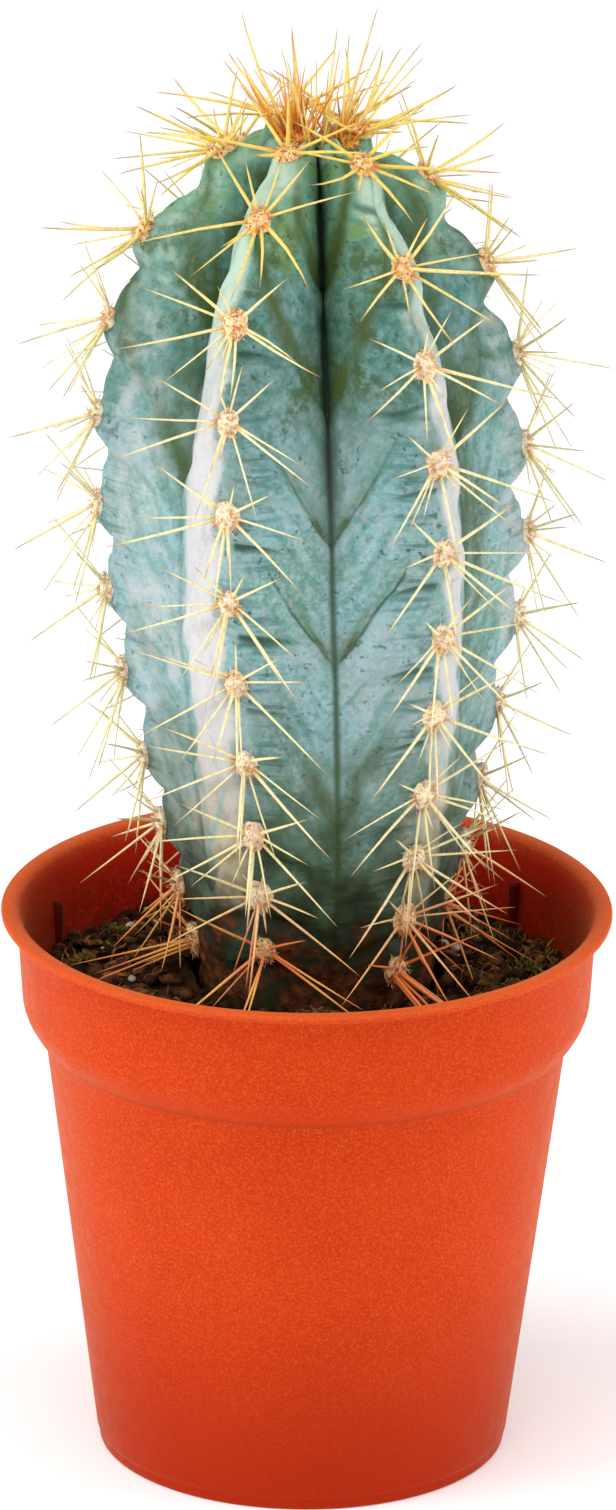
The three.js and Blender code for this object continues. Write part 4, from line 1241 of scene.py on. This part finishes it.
def areole_spines(rib, areole):
    """Root, direction, length, thickness, tone and seed of each spine of an areole."""
    place, out, up, side = areole_frame(rib, areole)
    for index, (turn, lift, length, spread) in enumerate(MAIN_CLUSTER + FINE_CLUSTER):
        seed = 40 * areole + index
        main = index < len(MAIN_CLUSTER)
        loose = 1 if main else 2.2
        absent = 1 if rib == BUNCHED_RIB and areole == AREOLES - 1 else 0.22 + 0.4 * (areole == 0)
        if not main and draw(rib, seed, 8) < absent:
            continue
        turn += loose * TURN_JITTER * (draw(rib, seed, 1) - 0.5)
        length *= 1 + loose * LENGTH_JITTER * (draw(rib, seed, 2) - 0.5)
        lift += loose * LIFT_JITTER * (draw(rib, seed, 3) - 0.5)
        root = place + out * ROOT_OUT + spine_direction(side, out, up, turn, 0) * spread
        direction = spine_direction(side, out, up, turn, lift)
        while lift < 80:
            tip = root + direction * length
            if tip[2] > soil_height(tip[0], tip[1]) + SOIL_CLEARANCE:
                break
            lift += LIFT_STEP
            direction = spine_direction(side, out, up, turn, lift)
        tone = 0.5 * draw(rib, seed, 5) + 0.6 * max(0, 1 - areole / 2)
        radius = lerp(*(MAIN_RADII if main else FINE_RADII), draw(rib, seed, 4))
        yield root, direction, length, radius, tone, seed


def make_areole_spines(sizes, finish):
    bundle = Bundle("along", "tone", "young")
    for rib, areole in np.ndindex(RIBS, AREOLES):
        young = float(smooth(areole + rib_phase(rib), 7.6, 10.2))
        for root, direction, length, radius, tone, seed in areole_spines(rib, areole):
            curl = lerp(0.09, 0.3, young)
            bend = [curl * (draw(rib, seed, 6 + way) - 0.5) for way in range(2)]
            root = root - direction * SPINE_SINK
            thick = radius * sizes.thickness * lerp(1, 1.2, young)
            add_spine(bundle, root, direction, length + SPINE_SINK, thick, bend, tone, young)
    bundle.piece("areole_spines", finish, "cactus_spines")


def crown_tuft():
    """Root, direction, length and tone of each spine in the middle of the crown."""
    listed = list(CROWN_SPINES)
    for index in range(TUFT_SPINES):
        share = math.sqrt((index + 0.5) / TUFT_SPINES)
        length = lerp(*TUFT_LENGTHS, draw(index, 9, 4))
        listed.append((index * GOLDEN_ANGLE, TUFT_TILT * share, length, TUFT_RADIUS * share))
    for index, (azimuth, tilt, length, spread) in enumerate(listed):
        way, lean = outward(float(azimuth)), math.radians(tilt)
        direction = way * math.sin(lean) + np.array([0, 0, math.cos(lean)])
        root = way * spread + np.array([0, 0, CROWN_HEIGHT + 0.4]) - direction * TUFT_SINK
        yield root, direction, length + TUFT_SINK, draw(index, 5, 5)


def make_crown(sizes, finish):
    """The long spines of the crown, the two bunches of young ones and the wool under them."""
    bundle = Bundle("along", "tone", "young")
    for index, (root, direction, length, tone) in enumerate(crown_tuft()):
        bend = [0.06 * (draw(index, 7, way) - 0.5) for way in range(2)]
        long = index < len(CROWN_SPINES)
        thick = (0.25 if long else 0.19) * sizes.thickness
        add_spine(bundle, root, direction, length, thick, bend, 0.9 * tone, 0.6 if long else 0.8)
    random = np.random.RandomState(5)
    wool = Bundle("tone")
    for azimuth, radius, count, lengths, fan in CROWN_BUNCHES:
        middle = outward(float(azimuth)) * radius + np.array([0, 0, CROWN_HEIGHT + 0.3])
        for _ in range(count):
            away = random.normal(0, 1.0, 2)
            root = middle + np.array([*away * 0.85, 0])
            direction = unit(np.array([*away * fan, 1.0]) + outward(float(azimuth)) * 0.15)
            length = lerp(*lengths, random.random_sample() ** 1.5)
            bend = random.normal(0, 0.05, 2)
            thick = random.uniform(0.15, 0.23) * sizes.thickness
            add_spine(bundle, root, direction, length, thick, bend, random.uniform(0, 1.6), 1.8)
        side, up, out = np.eye(3)
        add_wool(wool, random, middle, out, side, up, BUNCH_CUSHION, BUNCH_HAIRS)
    bundle.piece("crown_spines", finish, "cactus_spines")
    golden = wool_finish("golden_wool", srgb(250, 180, 50), srgb(224, 112, 16))
    wool.piece("crown_wool", golden, "areole_wool")


def add_wool(bundle, random, place, out, side, up, size, hairs):
    """A felted cushion with a nap of short hairs."""
    points, faces = ball(3)
    lumpy = points * (1 + 0.3 * noise_field(points, 0.55, random.uniform(0, 90)))[:, None]
    wide, tall, proud = size
    axes = np.array([side * wide / 2, up * tall / 2, out * proud])
    bundle.add(place + lumpy @ axes, faces, tone=random.uniform(0, 0.5))
    for _ in range(hairs):
        way = unit(random.normal(0, 1, 3))
        way[2] = abs(way[2])
        foot = place + way @ axes
        ahead = unit(way[0] * side + way[1] * up + way[2] * out + random.normal(0, 0.55, 3))
        half = random.uniform(*HAIR_LENGTHS) / 2
        bent = unit(ahead + random.normal(0, 0.5, 3))
        path = [foot - ahead * 0.3, foot + ahead * half, foot + (ahead + bent) * half]
        bundle.add(*tube(path, HAIR_RADII, 3), tone=random.random_sample())


def make_wool():
    """The woolly cushion of every areole."""
    random = np.random.RandomState(17)
    bundle = Bundle("tone")
    for rib, areole in np.ndindex(RIBS, AREOLES):
        place, out, up, side = areole_frame(rib, areole)
        size = CUSHION * random.uniform(0.88, 1.1)
        add_wool(bundle, random, place - up * 0.2, out, side, up, size, CUSHION_HAIRS)
    finish = wool_finish("areole_felt", srgb(255, 242, 212), srgb(224, 154, 76))
    bundle.piece("areole_wool", finish, "areole_wool")


# Stage


def add_softbox(name, place, size, power):
    """A rectangular light that faces the plant."""
    light = bpy.data.lights.new(name, "AREA")
    light.shape, light.size, light.size_y = "RECTANGLE", size[0], size[1]
    light.energy = power
    lamp = bpy.data.objects.new(name, light)
    lamp.location = place
    lamp.rotation_euler = (Vector(SOFTBOX_AIM) - Vector(place)).to_track_quat("-Z", "Y").to_euler()
    bpy.context.scene.collection.objects.link(lamp)


def add_floor():
    """A bright paper floor, which belongs to the stage."""
    mesh = bpy.data.meshes.new("floor")
    corners = [(x * FLOOR_HALF, y * FLOOR_HALF, 0) for x, y in ((-1, -1), (1, -1), (1, 1), (-1, 1))]
    mesh.from_pydata(corners, [], [(0, 1, 2, 3)])
    floor = bpy.data.objects.new("floor", mesh)
    finish = Finish("paper_floor", 0.9, Emission_Color=(1, 1, 1), Emission_Strength=0.22)
    finish.set(Base_Color=finish.mix(finish.lumps(900, 1), (0.94, 0.94, 0.94), (0.96, 0.96, 0.96)))
    mesh.materials.append(finish.material)
    bpy.context.scene.collection.objects.link(floor)


def add_surroundings(strength):
    """White surroundings on all sides, shown as they are."""
    world = bpy.data.worlds.new("white_room")
    world.use_nodes = True
    sky = world.node_tree.nodes["Background"].inputs
    sky["Color"].default_value = (1, 1, 1, 1)
    sky["Strength"].default_value = strength
    bpy.context.scene.world = world
    bpy.context.scene.view_settings.view_transform = "Standard"


def add_camera(stage):
    """The camera of the reference picture."""
    lens = bpy.data.cameras.new("camera")
    lens.sensor_width, lens.lens, lens.clip_end = SENSOR, stage.lens, CLIP_END
    camera = bpy.data.objects.new("camera", lens)
    turn = Matrix.Rotation(math.pi / 2 - stage.pitch, 4, "X") @ Matrix.Rotation(stage.roll, 4, "Z")
    place = (CAMERA_SIDEWAYS, -stage.distance, stage.eye_height)
    camera.matrix_world = Matrix.Translation(place) @ turn
    bpy.context.scene.collection.objects.link(camera)
    bpy.context.scene.camera = camera


# Settings


def colour_property(name, description, default):
    return FloatVectorProperty(
        name=name, description=description, default=default, size=3, min=0, max=1, subtype="COLOR",
    )


def length_property(name, description, default):
    return FloatProperty(name=name, description=description, default=default, unit="LENGTH")


def angle_property(name, description, degrees):
    return FloatProperty(
        name=name, description=description, default=math.radians(degrees), unit="ROTATION",
    )


def count_property(name, description, default):
    return IntProperty(name=name, description=description, default=default, min=0)


def power_property(name, description, default):
    return FloatProperty(name=name, description=description, default=default, unit="POWER")


class CactusPotSettings(PropertyGroup):
    """Size and colour of the pot."""

    pot_radius: length_property("Lip radius", "Radius of the pot's lip", round(POT_BOX[1].x, 4))
    pot_colour: colour_property("Plastic", "Colour of the pot", srgb(210, 62, 10))
    pot_grain: colour_property("Grain", "Colour of the pot's light grain", srgb(236, 112, 48))
    pot_shade: colour_property("Blotches", "Colour of the pot's faint blotches", srgb(204, 56, 8))


class CactusSoilSettings(PropertyGroup):
    """How much loose litter lies on the soil."""

    bark: count_property("Bark chips", "Number of bark chips", 150)
    crumbs: count_property("Crumbs", "Number of peat crumbs", 900)
    grit: count_property("Grit", "Number of pale grains", 70)
    fibres: count_property("Fibres", "Number of root fibres", 190)
    moss: count_property("Moss", "Number of moss tufts", 34)


class CactusStemSettings(PropertyGroup):
    """Relief and colours of the skin."""

    relief: FloatProperty(name="Relief", description="Depth of folds and chevrons", default=1.0, min=0)
    skin: colour_property("Skin", "Main colour of the skin", srgb(126, 180, 186))
    green_skin: colour_property("Green skin", "Colour of the greener stretches", srgb(110, 162, 150))
    bloom: colour_property("Bloom", "Colour of the thin wax on the skin", srgb(176, 202, 208))
    # The wax colour is also the colour of the painted highlight on the flanks that face the side
    # softboxes.
    wax: colour_property("Wax", "Colour of the thick wax along the crests", srgb(214, 210, 212))
    young: colour_property("Young skin", "Colour of the skin near the crown", srgb(118, 170, 128))
    olive: colour_property("Patches", "Colour of the olive patches", srgb(66, 86, 32))
    foot: colour_property("Foot", "Colour of the skin near the soil", srgb(58, 84, 40))


class CactusSpineSettings(PropertyGroup):
    """Thickness and colours of the spines."""

    thickness: FloatProperty(
        name="Thickness", description="Scale of the spines' thickness", default=1.0, min=0.1,
    )
    root_colour: colour_property("Root", "Colour at a spine's root", srgb(214, 150, 62))
    shaft_colour: colour_property("Shaft", "Colour of a spine's shaft", srgb(255, 242, 184))
    tip_colour: colour_property("Tip", "Colour at a spine's tip", srgb(156, 120, 84))
    young_root: colour_property("Young root", "Colour at a young spine's root", srgb(222, 120, 18))
    young_shaft: colour_property("Young shaft", "Colour of a young spine's shaft", srgb(255, 222, 104))


class CactusStageSettings(PropertyGroup):
    """Camera and lights."""

    distance: length_property("Distance", "Camera distance", 2.0)
    eye_height: length_property("Eye height", "Camera height", 0.8515)
    pitch: angle_property("Pitch", "Angle down", 20.56)
    roll: angle_property("Roll", "Camera roll", 0.64)
    lens: FloatProperty(name="Lens", description="Focal length in millimetres", default=368.6)
    left_power: power_property("Left light", "Power of the left softbox", 8.5)
    right_power: power_property("Right light", "Power of the right softbox", 7)
    top_power: power_property("Top light", "Power of the top softbox", 7)
    sky: FloatProperty(name="Sky", description="Strength of the white surroundings", default=0.5)


# Operators


class CACTUS_OT_pot(Operator):
    """Make the nursery pot"""

    bl_idname = "cactus.pot"
    bl_label = "Make pot"

    def execute(self, context):
        make_pot(context.scene.cactus_pot)
        return {"FINISHED"}


class CACTUS_OT_soil(Operator):
    """Make the peat and the loose litter on it"""

    bl_idname = "cactus.soil"
    bl_label = "Make soil"

    def execute(self, context):
        make_soil_bed()
        make_litter(context.scene.cactus_soil)
        return {"FINISHED"}


class CACTUS_OT_stem(Operator):
    """Make the ribbed stem"""

    bl_idname = "cactus.stem"
    bl_label = "Make stem"

    def execute(self, context):
        make_stem(context.scene.cactus_stem)
        return {"FINISHED"}


class CACTUS_OT_wool(Operator):
    """Make the wool of the areoles"""

    bl_idname = "cactus.wool"
    bl_label = "Make wool"

    def execute(self, context):
        make_wool()
        return {"FINISHED"}


class CACTUS_OT_spines(Operator):
    """Make the spines along the ribs"""

    bl_idname = "cactus.spines"
    bl_label = "Make spines"

    def execute(self, context):
        colours = context.scene.cactus_spines
        make_areole_spines(colours, spine_finish(colours))
        return {"FINISHED"}


class CACTUS_OT_crown(Operator):
    """Make the tuft of the crown"""

    bl_idname = "cactus.crown"
    bl_label = "Make crown"

    def execute(self, context):
        colours = context.scene.cactus_spines
        make_crown(colours, spine_finish(colours))
        return {"FINISHED"}


class CACTUS_OT_stage(Operator):
    """Make the floor, the lights and the camera"""

    bl_idname = "cactus.stage"
    bl_label = "Make stage"

    def execute(self, context):
        stage = context.scene.cactus_stage
        add_floor()
        for name, place, size, setting in SOFTBOXES:
            add_softbox(name, place, size, getattr(stage, setting))
        add_surroundings(stage.sky)
        add_camera(stage)
        return {"FINISHED"}


class CACTUS_PT_panel(Panel):
    """Lists the cactus's pieces"""

    bl_label = "Cactus"
    bl_idname = "CACTUS_PT_panel"
    bl_space_type = "VIEW_3D"
    bl_region_type = "UI"
    bl_category = "Cactus"

    def draw(self, context):
        for group, maker in STEPS:
            box = self.layout.box()
            settings = getattr(context.scene, group)
            for key in settings.__annotations__:
                box.prop(settings, key)
            box.operator(maker)


STEPS = (
    ("cactus_pot", "cactus.pot"),
    ("cactus_soil", "cactus.soil"),
    ("cactus_stem", "cactus.stem"),
    ("cactus_spines", "cactus.wool"),
    ("cactus_spines", "cactus.spines"),
    ("cactus_spines", "cactus.crown"),
    ("cactus_stage", "cactus.stage"),
)
GROUPS = {
    "cactus_pot": CactusPotSettings,
    "cactus_soil": CactusSoilSettings,
    "cactus_stem": CactusStemSettings,
    "cactus_spines": CactusSpineSettings,
    "cactus_stage": CactusStageSettings,
}
CLASSES = (
    *GROUPS.values(), CACTUS_OT_pot, CACTUS_OT_soil, CACTUS_OT_stem, CACTUS_OT_wool,
    CACTUS_OT_spines, CACTUS_OT_crown, CACTUS_OT_stage, CACTUS_PT_panel,
)


def register():
    for each in CLASSES:
        bpy.utils.register_class(each)
    for name, group in GROUPS.items():
        setattr(bpy.types.Scene, name, PointerProperty(type=group))


def unregister():
    for name in GROUPS:
        delattr(bpy.types.Scene, name)
    for each in reversed(CLASSES):
        bpy.utils.unregister_class(each)


def main():
    register()
    bpy.ops.cactus.stage()
    bpy.ops.cactus.pot()
    bpy.ops.cactus.soil()
    bpy.ops.cactus.stem()
    bpy.ops.cactus.wool()
    bpy.ops.cactus.spines()
    bpy.ops.cactus.crown()
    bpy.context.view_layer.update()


if __name__ == "__main__":
    main()
